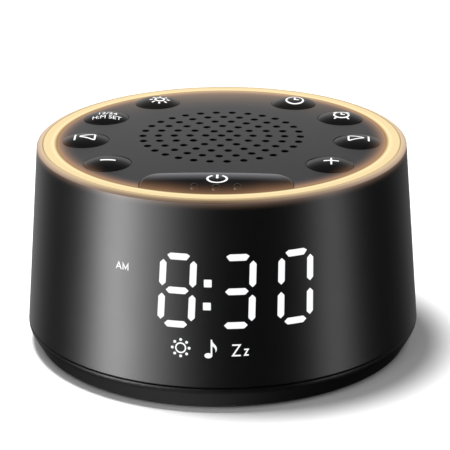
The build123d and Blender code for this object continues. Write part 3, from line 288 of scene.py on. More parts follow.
# %% Build the ring glow group
SPILL_FALL = 2.8
HAZE_START = 24 * MM     # distance from the middle
HAZE_FALL = 3.0
HAZE_COLOUR = rgb(1.0, 0.62, 0.34)
ring_glow, glow_in, glow_out = new_group(
    "ring glow",
    {"Reach": 0.004, "Level": 0.4, "Back": 0.0, "Near": rgb(1.0, 0.55, 0.28), "Far": rgb(1.0, 0.50, 0.30)},
    {"Glow": "Color"})
glow_axes = place_axes(ring_glow)
radius = length_of(ring_glow, glow_axes[0], glow_axes[1])
inside = calc(ring_glow, "SUBTRACT", RING_INNER, radius)
outside = calc(ring_glow, "SUBTRACT", radius, RING_OUTER)
across = calc(ring_glow, "MAXIMUM", calc(ring_glow, "MAXIMUM", inside, outside), 0.0)
below = calc(ring_glow, "MAXIMUM", calc(ring_glow, "SUBTRACT", LIP_Z, glow_axes[2]), 0.0)
away = length_of(ring_glow, across, below)
fade = calc(ring_glow, "SUBTRACT", 1.0, calc(ring_glow, "DIVIDE", away, glow_in.outputs["Reach"]),
            clamp=True)
tint = blend_colours(ring_glow, fade, glow_in.outputs["Far"], glow_in.outputs["Near"])
strength = calc(ring_glow, "MULTIPLY", calc(ring_glow, "POWER", fade, SPILL_FALL), glow_in.outputs["Level"])
spill = blend_colours(ring_glow, strength, grey(0), tint)
backward = calc(ring_glow, "DIVIDE", glow_axes[1], RING_INNER, clamp=True)
haze = calc(ring_glow, "MULTIPLY", ramp(ring_glow, radius, HAZE_START, RING_INNER - HAZE_START),
            calc(ring_glow, "POWER", backward, HAZE_FALL))
haze = calc(ring_glow, "MULTIPLY", haze, glow_in.outputs["Back"])
both = add(ring_glow, "Mix", data_type="RGBA", blend_type="ADD")
both.inputs[0].default_value = 1.0
put(ring_glow, both.inputs[6], spill)
put(ring_glow, both.inputs[7], blend_colours(ring_glow, haze, grey(0), HAZE_COLOUR))
put(ring_glow, glow_out.inputs["Glow"], both.outputs[2])
print("group", ring_glow.name, "has", len(ring_glow.nodes), "nodes")

# %% [markdown]
# ## One recipe for plain finishes
# Most pieces are one material with a grain, a colour that wanders slightly and uneven polish. The
# recipe below makes such a finish. The Principled shader stays in the material, and only its Base
# Color, Roughness and Normal are linked. The finished materials are kept by name in a dictionary.

# %% Recipe for a plain finish
finishes = {}


def new_finish(name):
    """Material with a Principled shader; returns its tree and the shader."""
    material = bpy.data.materials.new(name)
    material.use_nodes = True
    finishes[name] = material
    return material.node_tree, material.node_tree.nodes["Principled BSDF"]


def emboss(tree, shader, height, depth):
    """Bump the shader's normal by a height of a real depth in metres."""
    bump = add(tree, "Bump")
    bump.inputs["Strength"].default_value = 1.0
    bump.inputs["Distance"].default_value = depth
    put(tree, bump.inputs["Height"], height)
    put(tree, shader.inputs["Normal"], bump.outputs["Normal"])


def plain_finish(name, low, high, roughness, grain=0.0003, depth=0.00002, metallic=0.0):
    """Grainy finish between two colours; returns its tree and shader."""
    tree, shader = new_finish(name)
    texture = use_group(tree, moulded_grain, Size=grain)
    marks = use_group(tree, handling_marks, Roughness=roughness)
    put(tree, shader.inputs["Base Color"], blend_colours(tree, texture.outputs["Mask"], low, high))
    put(tree, shader.inputs["Roughness"], marks.outputs["Roughness"])
    emboss(tree, shader, texture.outputs["Height"], depth)
    shader.inputs["Metallic"].default_value = metallic
    return tree, shader


def cover(tree, shader, share, colour):
    """Blend a further colour over a shader's present one."""
    present = shader.inputs["Base Color"].links[0].from_socket
    put(tree, shader.inputs["Base Color"], blend_colours(tree, share, present, colour))


def add_glow(tree, shader, **values):
    """Painted spill of the light ring on a finish, given as emission."""
    spill_node = use_group(tree, ring_glow, **values)
    put(tree, shader.inputs["Emission Color"], spill_node.outputs["Glow"])
    shader.inputs["Emission Strength"].default_value = 1.0


print("recipe ready")

# %% [markdown]
# ## Housing, base and feet
# The housing is smoked polycarbonate with a satin skin and fine specks, and below the lip its steep wall gets
# only a thin line of the ring's light, painted as emission. The base is matt and the feet are dull rubber.
# All three come straight from the recipe.

# %% Housing, base and foot finishes
shell_tree, shell_shader = plain_finish("smoked_shell", rgb(0.0026, 0.0026, 0.0029),
                                        rgb(0.0058, 0.0058, 0.0063), 0.34, grain=0.00035, depth=0.000008)
# Painted glow of the ring on the wall just below the lip.
add_glow(shell_tree, shell_shader, Level=0.135, Reach=2.4 * MM, Near=rgb(1.0, 0.67, 0.52),
         Far=rgb(1.0, 0.6, 0.3))
plain_finish("base_black", rgb(0.0010, 0.0010, 0.0011), rgb(0.0028, 0.0028, 0.0029), 0.36, grain=0.0004)
plain_finish("foot_rubber", grey(0.020), grey(0.035), 0.85, grain=0.0005)
print(len(finishes), "finishes so far")

# %% [markdown]
# ## The deck
# The deck has a dry soft-touch skin that catches most of the ring's painted spill. Two more painted marks
# change its colour. Towards the back left a paler tone is painted on, a painted reflection of a bright wall.
# The walls of the grille holes are painted dark just below the skin, as painted shade where no light comes up
# from the speaker. How deep a place lies is worked out from the dome: it falls from its middle by the square
# of the distance, so the painted shade can follow it without knowing where the holes are.

# %% Deck finish
DECK_FALL = (plate_high.z - RING_TOP - 0.1 * MM) / plate_high.x ** 2
HOLE_SHADE_DEPTH = 0.12 * MM
HOLE_SHADE_START = 0.25  # of that depth
GRILLE_R = 24 * MM
PAINTED_REFLECTION_TONE = rgb(0.048, 0.048, 0.050)
deck_tree, deck_shader = plain_finish("deck_grey", rgb(0.028, 0.028, 0.029), rgb(0.036, 0.036, 0.037), 0.50,
                                      grain=0.00032, depth=0.000012)
deck_axes = place_axes(deck_tree)
# Painted reflection: a paler tone towards the back left of the deck.
back_left_reflection = calc(deck_tree, "SUBTRACT", calc(deck_tree, "MULTIPLY", deck_axes[1], 0.92),
                 calc(deck_tree, "MULTIPLY", deck_axes[0], 0.40))
back_left_reflection = calc(deck_tree, "MULTIPLY_ADD", back_left_reflection, 0.5 / RING_INNER, 0.35, clamp=True)
cover(deck_tree, deck_shader, back_left_reflection, PAINTED_REFLECTION_TONE)
off_axis = squares(deck_tree, deck_axes[0], deck_axes[1])
skin_z = calc(deck_tree, "SUBTRACT", plate_high.z, calc(deck_tree, "MULTIPLY", off_axis, DECK_FALL))
# Painted shade on the walls of the grille holes, just below the skin.
depth_share = calc(deck_tree, "DIVIDE", calc(deck_tree, "SUBTRACT", skin_z, deck_axes[2]), HOLE_SHADE_DEPTH)
painted_hole_shade = calc(deck_tree, "SUBTRACT", calc(deck_tree, "ABSOLUTE", depth_share), HOLE_SHADE_START,
                  clamp=True)
in_grille = calc(deck_tree, "LESS_THAN", off_axis, GRILLE_R ** 2)
cover(deck_tree, deck_shader, calc(deck_tree, "MULTIPLY", painted_hole_shade, in_grille), grey(0.0015))
# Painted spill of the ring near its edge, and a painted haze on the far part of the deck.
add_glow(deck_tree, deck_shader, Level=0.46, Reach=5.2 * MM, Back=0.30)
print("deck falls", round(DECK_FALL * plate_high.x ** 2 / MM, 2), "mm to its edge")

# %% [markdown]
# ## Caps and power bar
# The caps are darker and a little glossier than the deck. The bar has the same finish and two painted marks
# more: a painted grey highlight on its rounded back edge that dies away forward, and more of the painted ring
# glow in its middle than at its ends. One material does both, because only the bar lies in front of its own
# back edge. The painted glow is taken away round the three feel bumps, so that they stand out dark as painted
# shade.

# %% Cap and bar finish
BAR_SHEEN = 5.8 * MM     # how far the sheen reaches forward
BAR_SHEEN_FALL = 1.5
PAINTED_SHEEN_COLOUR = rgb(0.25, 0.25, 0.262)
BAR_LIGHT_END = 23.37 * MM
BAR_LIGHT_FADE = 11.4 * MM
CAP_LEVEL = 0.30
CAP_REACH = 5.2 * MM
BUMP_PLACES = ((0.0, -40.3 * MM), (5.47 * MM, -39.93 * MM))    # the second one has a mirror image
BUMP_REACH = 1.6 * MM
BUMP_SHADE = 1.8
bar_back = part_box("power_bar")[1].y
button_tree, button_shader = plain_finish("button_grey", rgb(0.0045, 0.0045, 0.005),
                                          rgb(0.008, 0.008, 0.0085), 0.30, grain=0.00030, depth=0.000006)
cap_axes = place_axes(button_tree)
off_middle = calc(button_tree, "ABSOLUTE", cap_axes[0])
on_bar = calc(button_tree, "LESS_THAN", cap_axes[1], bar_back + 0.2 * MM)


def near_bump(x, y):
    """1 at the middle of a feel bump and of its mirror image, 0 beyond its reach."""
    distance = length_of(button_tree, calc(button_tree, "SUBTRACT", off_middle, x),
                         calc(button_tree, "SUBTRACT", cap_axes[1], y))
    return ramp(button_tree, distance, BUMP_REACH, -BUMP_REACH)


# Painted shade: round the feel bumps the painted ring glow is taken away.
on_bump = calc(button_tree, "MAXIMUM", *[near_bump(x, y) for x, y in BUMP_PLACES])
off_bump = calc(button_tree, "SUBTRACT", 1.0, calc(button_tree, "MULTIPLY", on_bump, BUMP_SHADE), clamp=True)
# More painted ring glow in the bar's middle than at its ends.
mid_bar = calc(button_tree, "MULTIPLY", ramp(button_tree, off_middle, BAR_LIGHT_END, -BAR_LIGHT_FADE), on_bar)
cap_level = calc(button_tree, "MULTIPLY_ADD", on_bar, -0.06, CAP_LEVEL)
cap_level = calc(button_tree, "MULTIPLY_ADD", mid_bar, 0.20, cap_level)
add_glow(button_tree, button_shader, Level=calc(button_tree, "MULTIPLY", cap_level, off_bump),
         Reach=calc(button_tree, "MULTIPLY_ADD", mid_bar, 2.3 * MM, CAP_REACH), Back=0.05)
# Painted highlight on the bar's rounded back edge, fading forward.
sheen = calc(button_tree, "POWER", ramp(button_tree, cap_axes[1], bar_back - BAR_SHEEN, BAR_SHEEN),
             BAR_SHEEN_FALL)
cover(button_tree, button_shader, calc(button_tree, "MULTIPLY", sheen, on_bar), PAINTED_SHEEN_COLOUR)
print("bar sheen", round(BAR_SHEEN / MM, 1), "mm deep")
print(len(finishes), "finishes so far")

# %% [markdown]
# ## The light ring
# The ring is milky plastic lit from below by small lamps, so it gives light of its own, and painted shade is
# laid into that light. Its flat face is the brightest, a hair line of a groove parts it from the shoulder,
# and the shoulder is painted darker and browner because its light leaves at a slant. It is painted darkest
# towards the clock, where the wall below it gives no light back, so two colour ramps over the radius, a
# shaded one for the front and a brighter one for the sides and back, are blended by how far a place lies from
# the front.

# %% Ring finish
ring_tree, ring_shader = new_finish("ring_diffuser")
ring_axes = place_axes(ring_tree)
ring_radius = length_of(ring_tree, ring_axes[0], ring_axes[1])
across_ring = ramp(ring_tree, ring_radius, RING_INNER, RING_WIDTH)


def ring_ramp(stops):
    """Colours across the ring, from its inner to its outer edge."""
    colours = add(ring_tree, "ValToRGB")
    marks = colours.color_ramp.elements
    marks[0].position, marks[0].color = stops[0]
    marks[1].position, marks[1].color = stops[-1]
    for position, colour in stops[1:-1]:
        marks.new(position).color = colour
    put(ring_tree, colours.inputs[0], across_ring)
    return colours.outputs[0]


FACE_STOPS = (
    (0.11, rgb(0.84, 0.66, 0.36)),
    (0.17, rgb(0.98, 0.87, 0.52)),
    (0.36, rgb(0.94, 0.74, 0.41)),
    (0.655, rgb(0.93, 0.75, 0.42)),
)
ring_front = ring_ramp((
    (0.0, rgb(0.14, 0.09, 0.04)),
    (0.055, rgb(0.30, 0.20, 0.08)),
) + FACE_STOPS + (
    (0.675, rgb(0.34, 0.22, 0.11)),
    (0.715, rgb(0.40, 0.27, 0.14)),
    (0.74, rgb(0.60, 0.44, 0.25)),
    (0.80, rgb(0.50, 0.36, 0.20)),
    (0.89, rgb(0.22, 0.145, 0.08)),
    (1.0, rgb(0.10, 0.062, 0.05)),
))
ring_side = ring_ramp((
    (0.0, rgb(0.38, 0.22, 0.09)),
    (0.055, rgb(0.60, 0.38, 0.18)),
) + FACE_STOPS + (
    (0.675, rgb(0.42, 0.29, 0.16)),
    (0.715, rgb(0.48, 0.34, 0.20)),
    (0.74, rgb(0.78, 0.58, 0.38)),
    (0.80, rgb(0.77, 0.57, 0.38)),
    (0.89, rgb(0.69, 0.53, 0.39)),
    (1.0, rgb(0.50, 0.36, 0.27)),
))
# Painted shade: the ring's light is darker towards the front.
turned_back = calc(ring_tree, "ADD", 1.0, calc(ring_tree, "DIVIDE", ring_axes[1], ring_radius), clamp=True)
turned_back = calc(ring_tree, "POWER", turned_back, 0.55)
put(ring_tree, ring_shader.inputs["Emission Color"],
    blend_colours(ring_tree, turned_back, ring_front, ring_side))
ring_shader.inputs["Emission Strength"].default_value = 1.0
ring_grain = use_group(ring_tree, moulded_grain, Size=0.0004)
put(ring_tree, ring_shader.inputs["Base Color"],
    blend_colours(ring_tree, ring_grain.outputs["Mask"], rgb(0.025, 0.020, 0.012), rgb(0.035, 0.028, 0.016)))
ring_shader.inputs["Specular IOR Level"].default_value = 0.01
ring_marks = use_group(ring_tree, handling_marks, Roughness=0.4)
put(ring_tree, ring_shader.inputs["Roughness"], ring_marks.outputs["Roughness"])
emboss(ring_tree, ring_shader, ring_grain.outputs["Height"], 0.000005)
print("ring face with", len(FACE_STOPS), "stops")

# %% [markdown]
# ## Light that shows through and ink on the caps
# The clock's lamps shine through the smoked wall as pure white, so their finish gives light of its own and
# hardly any colour to the lamps of the room. The symbols on the caps are white pad printing, which is a
# little uneven where the ink is thin. Their white is painted as a glow of its own, though the ink is no lamp,
# and a noise blends two near whites in that glow.

# %% Clock light and printed ink
light_tree, light_shader = new_finish("clock_light")
light_noise = add(light_tree, "TexNoise")
light_noise.inputs["Scale"].default_value = 900.0
put(light_tree, light_noise.inputs["Vector"], place_on(light_tree))
put(light_tree, light_shader.inputs["Emission Color"],
    blend_colours(light_tree, light_noise.outputs[0], rgb(0.94, 0.95, 0.97), grey(1)))
light_shader.inputs["Emission Strength"].default_value = 1.0
light_shader.inputs["Base Color"].default_value = grey(0.02)

ink_and_glow_tree, ink_and_glow_shader = plain_finish("symbol_ink", grey(0.30), grey(0.36), 0.5, grain=0.00025,
                                    depth=0.000004)
# Painted glow: the printed ink gives light of its own.
put(ink_and_glow_tree, ink_and_glow_shader.inputs["Emission Color"],
    blend_colours(ink_and_glow_tree, add(ink_and_glow_tree, "TexNoise").outputs[0], grey(0.74), grey(0.86)))
ink_and_glow_shader.inputs["Emission Strength"].default_value = 1.0
print(len(finishes), "finishes so far")

# %% [markdown]
# ## Finishes of the inner pieces
# The inner pieces show only where the machine is opened, but they get finishes of their own all the
# same. Plain ones come from the recipe, each with two colours, a roughness, the size and the depth of
# its grain in metres, and how metallic it is.

# %% Plain inner finishes
INNER = {
    "white_plastic": (rgb(0.78, 0.78, 0.76), rgb(0.85, 0.85, 0.83), 0.45, 0.0005, 0.00002, 0.0),
    "plunger_plastic": (rgb(0.42, 0.42, 0.43), rgb(0.52, 0.52, 0.53), 0.5, 0.0004, 0.00002, 0.0),
    "switch_black": (grey(0.018), grey(0.035), 0.5, 0.0004, 0.00002, 0.0),
    "module_black": (grey(0.010), grey(0.020), 0.6, 0.0004, 0.00002, 0.0),
    "chip_black": (rgb(0.018, 0.018, 0.019), rgb(0.032, 0.032, 0.034), 0.65, 0.0002, 0.00001, 0.0),
    "connector_ivory": (rgb(0.68, 0.63, 0.50), rgb(0.76, 0.71, 0.58), 0.5, 0.0004, 0.00002, 0.0),
    "display_film": (grey(0.70), grey(0.80), 0.6, 0.0002, 0.00001, 0.0),
    "foam_black": (grey(0.020), grey(0.050), 0.95, 0.0006, 0.00015, 0.0),
    "cone_paper": (rgb(0.022, 0.022, 0.021), rgb(0.055, 0.053, 0.050), 0.9, 0.0005, 0.00005, 0.0),
    "magnet_ferrite": (rgb(0.045, 0.045, 0.047), rgb(0.090, 0.090, 0.092), 0.7, 0.0005, 0.00003, 0.0),
    "screw_steel": (rgb(0.42, 0.42, 0.44), rgb(0.52, 0.52, 0.54), 0.32, 0.0003, 0.00001, 1.0),
    "socket_steel": (rgb(0.55, 0.55, 0.56), rgb(0.66, 0.66, 0.67), 0.28, 0.0003, 0.00001, 1.0),
    "cell_steel": (rgb(0.58, 0.58, 0.59), rgb(0.68, 0.68, 0.69), 0.3, 0.0003, 0.00001, 1.0),
    "capacitor_can": (rgb(0.58, 0.58, 0.60), rgb(0.66, 0.66, 0.68), 0.3, 0.0003, 0.00001, 1.0),
    "lead_red": (rgb(0.42, 0.020, 0.014), rgb(0.52, 0.032, 0.022), 0.5, 0.0006, 0.00002, 0.0),
}
for name, (low, high, roughness, grain, depth, metallic) in INNER.items():
    plain_finish(name, low, high, roughness, grain=grain, depth=depth, metallic=metallic)
print(len(finishes), "finishes so far")

# %% [markdown]
# ## Lines, weave and winding
# Cloth, wound wire, flat cable and the drawn steel of the basket are all made of lines. One group draws
# soft lines along one direction, and a second set at a right angle turns lines into a weave. A Wave
# texture could do it too, but plain maths on the coordinate keeps the line width in real millimetres.
# The tracks of the boards are patches with gaps between them instead, which a Brick texture gives.

# %% Build the fine lines group
fine_lines, lines_in, lines_out = new_group(
    "fine lines", {"Coordinate": 0.0, "Pitch": 0.0005}, {"Height": "Float", "Mask": "Float"})
turns = calc(fine_lines, "DIVIDE", lines_in.outputs["Coordinate"], lines_in.outputs["Pitch"])
wave = calc(fine_lines, "MULTIPLY_ADD", calc(fine_lines, "SINE", calc(fine_lines, "MULTIPLY", turns, 2 * pi)),
            0.5, 0.5)
put(fine_lines, lines_out.inputs["Height"], wave)
put(fine_lines, lines_out.inputs["Mask"], calc(fine_lines, "GREATER_THAN", wave, 0.6))
print("group", fine_lines.name, "has", len(fine_lines.nodes), "nodes")

# %% Cloth, coil, cables and boards
THREAD_PITCH = 0.5 * MM
cloth_tree, cloth_shader = plain_finish("speaker_cloth", grey(0.006), grey(0.016), 0.95)
cloth_axes = place_axes(cloth_tree)
threads = [use_group(cloth_tree, fine_lines, Coordinate=axis, Pitch=THREAD_PITCH).outputs["Height"]
           for axis in cloth_axes[:2]]
weave = calc(cloth_tree, "MULTIPLY", *threads)
put(cloth_tree, cloth_shader.inputs["Base Color"],
    blend_colours(cloth_tree, weave, grey(0.0008), grey(0.0050)))
cloth_shader.inputs["Specular IOR Level"].default_value = 0.1
emboss(cloth_tree, cloth_shader, weave, 0.0001)


def lined_finish(name, axis, pitch, gaps, lines, roughness, metallic=0.0):
    """Finish with raised lines along one axis."""
    tree, shader = plain_finish(name, gaps, lines, roughness, metallic=metallic)
    rows = use_group(tree, fine_lines, Coordinate=place_axes(tree)[axis], Pitch=pitch)
    put(tree, shader.inputs["Base Color"], blend_colours(tree, rows.outputs["Mask"], gaps, lines))
    emboss(tree, shader, rows.outputs["Height"], pitch / 8)


lined_finish("coil_copper", 2, 0.0003, rgb(0.30, 0.11, 0.05), rgb(0.72, 0.34, 0.18), 0.35, metallic=1.0)
lined_finish("ribbon_white", 1, 0.0010, rgb(0.62, 0.62, 0.63), grey(0.80), 0.35)
lined_finish("flex_amber", 0, 0.0008, rgb(0.30, 0.13, 0.03), rgb(0.50, 0.26, 0.06), 0.3)
lined_finish("basket_steel", 2, 0.0004, rgb(0.36, 0.36, 0.37), rgb(0.44, 0.44, 0.45), 0.4, metallic=1.0)

board_tree, board_shader = plain_finish("board_green", rgb(0.010, 0.10, 0.035), rgb(0.014, 0.13, 0.045), 0.35)
tracks = add(board_tree, "TexBrick")
tracks.inputs["Scale"].default_value = 400.0
tracks.inputs["Mortar Size"].default_value = 0.08
tracks.inputs["Color1"].default_value = rgb(0.010, 0.10, 0.035)
tracks.inputs["Color2"].default_value = rgb(0.012, 0.12, 0.040)
tracks.inputs["Mortar"].default_value = rgb(0.045, 0.24, 0.09)
put(board_tree, tracks.inputs["Vector"], place_on(board_tree))
put(board_tree, board_shader.inputs["Base Color"], tracks.outputs["Color"])

lamp_tree, lamp_shader = plain_finish("lamp_white", rgb(0.82, 0.80, 0.62), rgb(0.90, 0.88, 0.70), 0.35)
put(lamp_tree, lamp_shader.inputs["Emission Color"],
    blend_colours(lamp_tree, add(lamp_tree, "TexNoise").outputs[0], rgb(0.8, 0.6, 0.3), rgb(1.0, 0.8, 0.45)))
lamp_shader.inputs["Emission Strength"].default_value = 0.6
print(len(finishes), "finishes in all")

# %% [markdown]
# ## Dress the solids
# The record names the material slot of each solid, and the finishes carry the same names, so one loop
# gives every solid its finish. Only the material in the slot changes, never the mesh.

# %% Give every solid its finish
for part in frame["record"]["subparts"]:
    solid = nodes[part["node"]]
    finish = finishes[part["material_slot"]]
    if not solid.material_slots:
        solid.data.materials.append(finish)
    for holder in solid.material_slots:
        holder.material = finish

# %% [markdown]
# ## Drawing symbols
# A symbol is first drawn flat, in millimetres, as closed outlines. A line symbol is a stroke: its
# outline runs along one side, round the end and back along the other, with mitred corners. Circles
# become two outlines, an outer and an inner one, joined by a strip of faces.

# %% Strokes, rings and discs


def stroke(points, width):
    """Outline of an open line with mitred corners and flat ends."""
    sides = ([], [])
    for index, (x, y) in enumerate(points):
        before = points[max(index - 1, 0)]
        after = points[min(index + 1, len(points) - 1)]
        into = Vector((x - before[0], y - before[1]))
        out = Vector((after[0] - x, after[1] - y))
        into = into.normalized() if into.length else out.normalized()
        out = out.normalized() if out.length else into
        normal = Vector((-(into.y + out.y), into.x + out.x)).normalized()
        reach = width / 2 / max(normal.dot(Vector((-into.y, into.x))), 0.35)
        for side, sign in zip(sides, (1, -1)):
            side.append((x + sign * reach * normal.x, y + sign * reach * normal.y))
    return sides[0] + sides[1][::-1]


def arc(radius, start, end, steps=24, centre=(0, 0)):
    """Points on a circle between two angles in degrees."""
    turns = [radians(start + (end - start) * step / steps) for step in range(steps + 1)]
    return [(centre[0] + radius * cos(turn), centre[1] + radius * sin(turn)) for turn in turns]


def circle(radius, centre=(0, 0), steps=24):
    """Closed outline of a circle."""
    return arc(radius, 0, 360, steps, centre)[:-1]


def band(points, width):
    """Closed line as a pair of outlines, outer and inner."""
    loops = ([], [])
    count = len(points)
    for index, (x, y) in enumerate(points):
        before, after = points[index - 1], points[(index + 1) % count]
        into = Vector((x - before[0], y - before[1])).normalized()
        out = Vector((after[0] - x, after[1] - y)).normalized()
        normal = Vector((into.y + out.y, -(into.x + out.x))).normalized()
        reach = width / 2 / max(normal.dot(Vector((into.y, -into.x))), 0.35)
        for loop, sign in zip(loops, (1, -1)):
            loop.append((x + sign * reach * normal.x, y + sign * reach * normal.y))
    return loops


def moved(outline, dx, dy):
    """Outline shifted as a whole."""
    return [(x + dx, y + dy) for x, y in outline]


def sized(outline, wide, tall):
    """Outline stretched in width and in height."""
    return [(x * wide, y * tall) for x, y in outline]


def at_turn(radius, turn):
    """Point at a distance from the middle and an angle in degrees."""
    return (radius * cos(radians(turn)), radius * sin(radians(turn)))


def rounded(points, radius, steps=4):
    """Closed outline with its corners rounded off."""
    made = []
    for index, point in enumerate(points):
        corner = Vector(point)
        to_before = (Vector(points[index - 1]) - corner).normalized()
        to_after = (Vector(points[(index + 1) % len(points)]) - corner).normalized()
        first, last = corner + to_before * radius, corner + to_after * radius
        for step in range(steps + 1):
            share = step / steps
            made.append(tuple(first.lerp(corner, share).lerp(corner.lerp(last, share), share)))
    return made


print("stroke of a corner has", len(stroke([(0, 0), (1, 0), (1, 1)], 0.2)), "points")

# %% [markdown]
# ## From flat outlines to thin relief
# The flat drawing becomes a thin closed solid that hugs a curved surface. It is cut into narrow
# strips first, because a flat face can't bend, then a copy is raised to the ink's thickness and the
# edges are closed, and last every corner is moved onto the surface. The surface is a function from
# flat millimetres to a point, so one routine serves the conical wall and the domed caps. Two short
# helpers then name the two uses: light that shines through the housing, and ink on a cap.

# %% Relief on a curved surface
INK = 0.04 * MM
INK_SINK = 0.03 * MM
STRIP = 0.8              # width of the strips in millimetres


def relief(name, outlines, bands, surface, finish, body):
    """Thin solid of filled outlines and closed bands, laid on a surface and riding on a body."""
    sheet = bmesh.new()
    for outline in outlines:
        sheet.faces.new([sheet.verts.new((x, y, 0)) for x, y in outline])
    for outer, inner in bands:
        rims = [[sheet.verts.new((x, y, 0)) for x, y in loop] for loop in (outer, inner)]
        for index in range(len(outer)):
            ahead = (index + 1) % len(outer)
            sheet.faces.new((rims[0][index], rims[0][ahead], rims[1][ahead], rims[1][index]))
    for axis in (0, 1):
        low = min(vertex.co[axis] for vertex in sheet.verts)
        high = max(vertex.co[axis] for vertex in sheet.verts)
        for cut in range(1, int((high - low) / STRIP) + 1):
            spot = [0.0, 0.0, 0.0]
            across = [0.0, 0.0, 0.0]
            spot[axis] = low + cut * STRIP
            across[axis] = 1.0
            everything = sheet.verts[:] + sheet.edges[:] + sheet.faces[:]
            bmesh.ops.bisect_plane(sheet, geom=everything, dist=1e-6, plane_co=spot, plane_no=across)
    bmesh.ops.triangulate(sheet, faces=sheet.faces[:])
    bmesh.ops.recalc_face_normals(sheet, faces=sheet.faces[:])
    raised = bmesh.ops.extrude_face_region(sheet, geom=sheet.faces[:])
    tops = {item for item in raised["geom"] if isinstance(item, bmesh.types.BMVert)}
    for vertex in sheet.verts:
        lift = INK if vertex in tops else -INK_SINK
        vertex.co = surface(vertex.co.x, vertex.co.y, lift)
    bmesh.ops.recalc_face_normals(sheet, faces=sheet.faces[:])
    mesh = bpy.data.meshes.new(name)
    sheet.to_mesh(mesh)
    sheet.free()
    mesh.materials.append(finishes[finish])
    made = put_up(name, mesh)
    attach(made, body)


def on_wall(angle, height):
    """Surface function of the housing wall at an angle from the front, in degrees to the right."""
    def spot(x, y, lift):
        z = height + y * MM
        radius = wall_r(z) + lift
        turn = radians(angle) + x * MM / wall_r(height)
        return Vector((radius * sin(turn), -radius * cos(turn), z))
    return spot


def on_cap(solid_name, dx, dy):
    """Surface function of a solid seen from above, round a place off the middle of its box."""
    low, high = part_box(solid_name)
    middle = (low + high) / 2
    mesh = nodes[solid_name].data
    skin = BVHTree.FromPolygons([v.co[:] for v in mesh.vertices], [p.vertices[:] for p in mesh.polygons])

    def spot(x, y, lift):
        start = Vector((middle.x + (x + dx) * MM, middle.y + (y + dy) * MM, high.z + 10 * MM))
        hit = skin.ray_cast(start, Vector((0, 0, -1)))[0]
        return hit + Vector((0, 0, lift))
    return spot


def shine(name, outlines, bands, angle, height):
    """Clock light that shows through the housing wall."""
    relief(name, outlines, bands, on_wall(angle, height), "clock_light", "housing")


def ink(name, outlines, bands, solid_name, dx, dy):
    """Printed symbol that moves with its cap."""
    relief(name, outlines, bands, on_cap(solid_name, dx, dy), "symbol_ink", solid_name)


print("relief", round((INK + INK_SINK) / MM, 2), "mm thick in all")

# %% [markdown]
# ## The clock's digits
# The clock has four seven-segment digits, of which the first is dark, and a colon. Each segment is a
# bar with pointed ends and slightly rounded corners, and the whole digit leans to the right. The
# segments that are lit follow from the numeral.

# %% Lit segments of the clock
DIGIT_WIDTH = 9.7
DIGIT_HEIGHT = 19.7
BAR = 1.75
BAR_ROUND = 0.16
SEGMENT_GAP = 1.95
LEAN = tan(radians(2.3))
DIGITS_Z = RING_TOP - (13.9 + DIGIT_HEIGHT / 2) * MM
NUMERALS = {"8": "abcdefg", "3": "abcdg", "0": "abcdef"}
CLOCK = (("8", -10.7), ("3", 6.2), ("0", 23.3))     # numeral and angle from the front


def segment(letter):
    """Outline of one segment of a digit, centred on the digit."""
    high = (DIGIT_HEIGHT - BAR) / 2
    side = (DIGIT_WIDTH - BAR) / 2
    places = {"a": (0, high), "b": (side, high / 2), "c": (side, -high / 2), "d": (0, -high),
              "e": (-side, -high / 2), "f": (-side, high / 2), "g": (0, 0)}
    upright = letter in "bcef"
    half = ((high if upright else 2 * side) - SEGMENT_GAP) / 2
    tip = BAR / 2
    shape = [(-half, 0), (tip - half, tip), (half - tip, tip), (half, 0), (half - tip, -tip),
             (tip - half, -tip)]
    if letter == "a":
        shape[0] = (-half, tip / 3)
        shape[3] = (half, tip / 3)
    if upright:
        shape = [(-y, x) for x, y in shape]
    x0, y0 = places[letter]
    shape = rounded(moved(shape, x0, y0), BAR_ROUND)
    return [(x + y * LEAN, y) for x, y in shape]


for numeral, angle in CLOCK:
    shine("clock_digit_" + numeral, [segment(letter) for letter in NUMERALS[numeral]], [], angle, DIGITS_Z)

COLON_SIDE = 2.0
COLON_SPREAD = 6.09
COLON_ANGLE = -2.1
COLON_Z = RING_TOP - 24.6 * MM
half_side = COLON_SIDE / 2
square = [(-half_side, -half_side), (half_side, -half_side), (half_side, half_side), (-half_side, half_side)]
dots = [moved(rounded(square, 0.2), rise * LEAN, rise) for rise in (-COLON_SPREAD / 2, COLON_SPREAD / 2)]
shine("clock_colon", dots, [], COLON_ANGLE, COLON_Z)
print("clock shows", " ".join(numeral for numeral, angle in CLOCK))

# %% [markdown]
# ## The clock's small signs
# Left of the digits a small AM marks the morning. Below them a row of signs shows what is switched on:
# a sun for the night light, a note for the sounds and two letters Z for the sleep timer. The letters
# are strokes too, so they keep the same line weight as the signs.

# %% Marker and status signs
MARKER_LINE = 0.30
MARKER_ANGLE = -27.7
MARKER_Z = RING_TOP - 19.3 * MM
letter_a = [stroke([(-1.75, -0.87), (-0.98, 0.87), (-0.21, -0.87)], MARKER_LINE),
            stroke([(-1.36, -0.30), (-0.60, -0.30)], 0.24)]
letter_m = [stroke([(0.32, -0.87), (0.32, 0.80), (1.05, -0.55), (1.78, 0.80), (1.78, -0.87)], MARKER_LINE)]
shine("clock_marker", letter_a + letter_m, [], MARKER_ANGLE, MARKER_Z)

SIGNS_Z = RING_TOP - 39.0 * MM
SIGN_LINE = 0.38
SUN_ANGLE, NOTE_ANGLE, SLEEP_ANGLE = -9.6, -1.2, 7.15
sun_dots = [circle(0.39, at_turn(2.2, turn), 12) for turn in range(0, 360, 45)]
shine("sign_sun", sun_dots, [band(circle(1.28), SIGN_LINE)], SUN_ANGLE, SIGNS_Z)

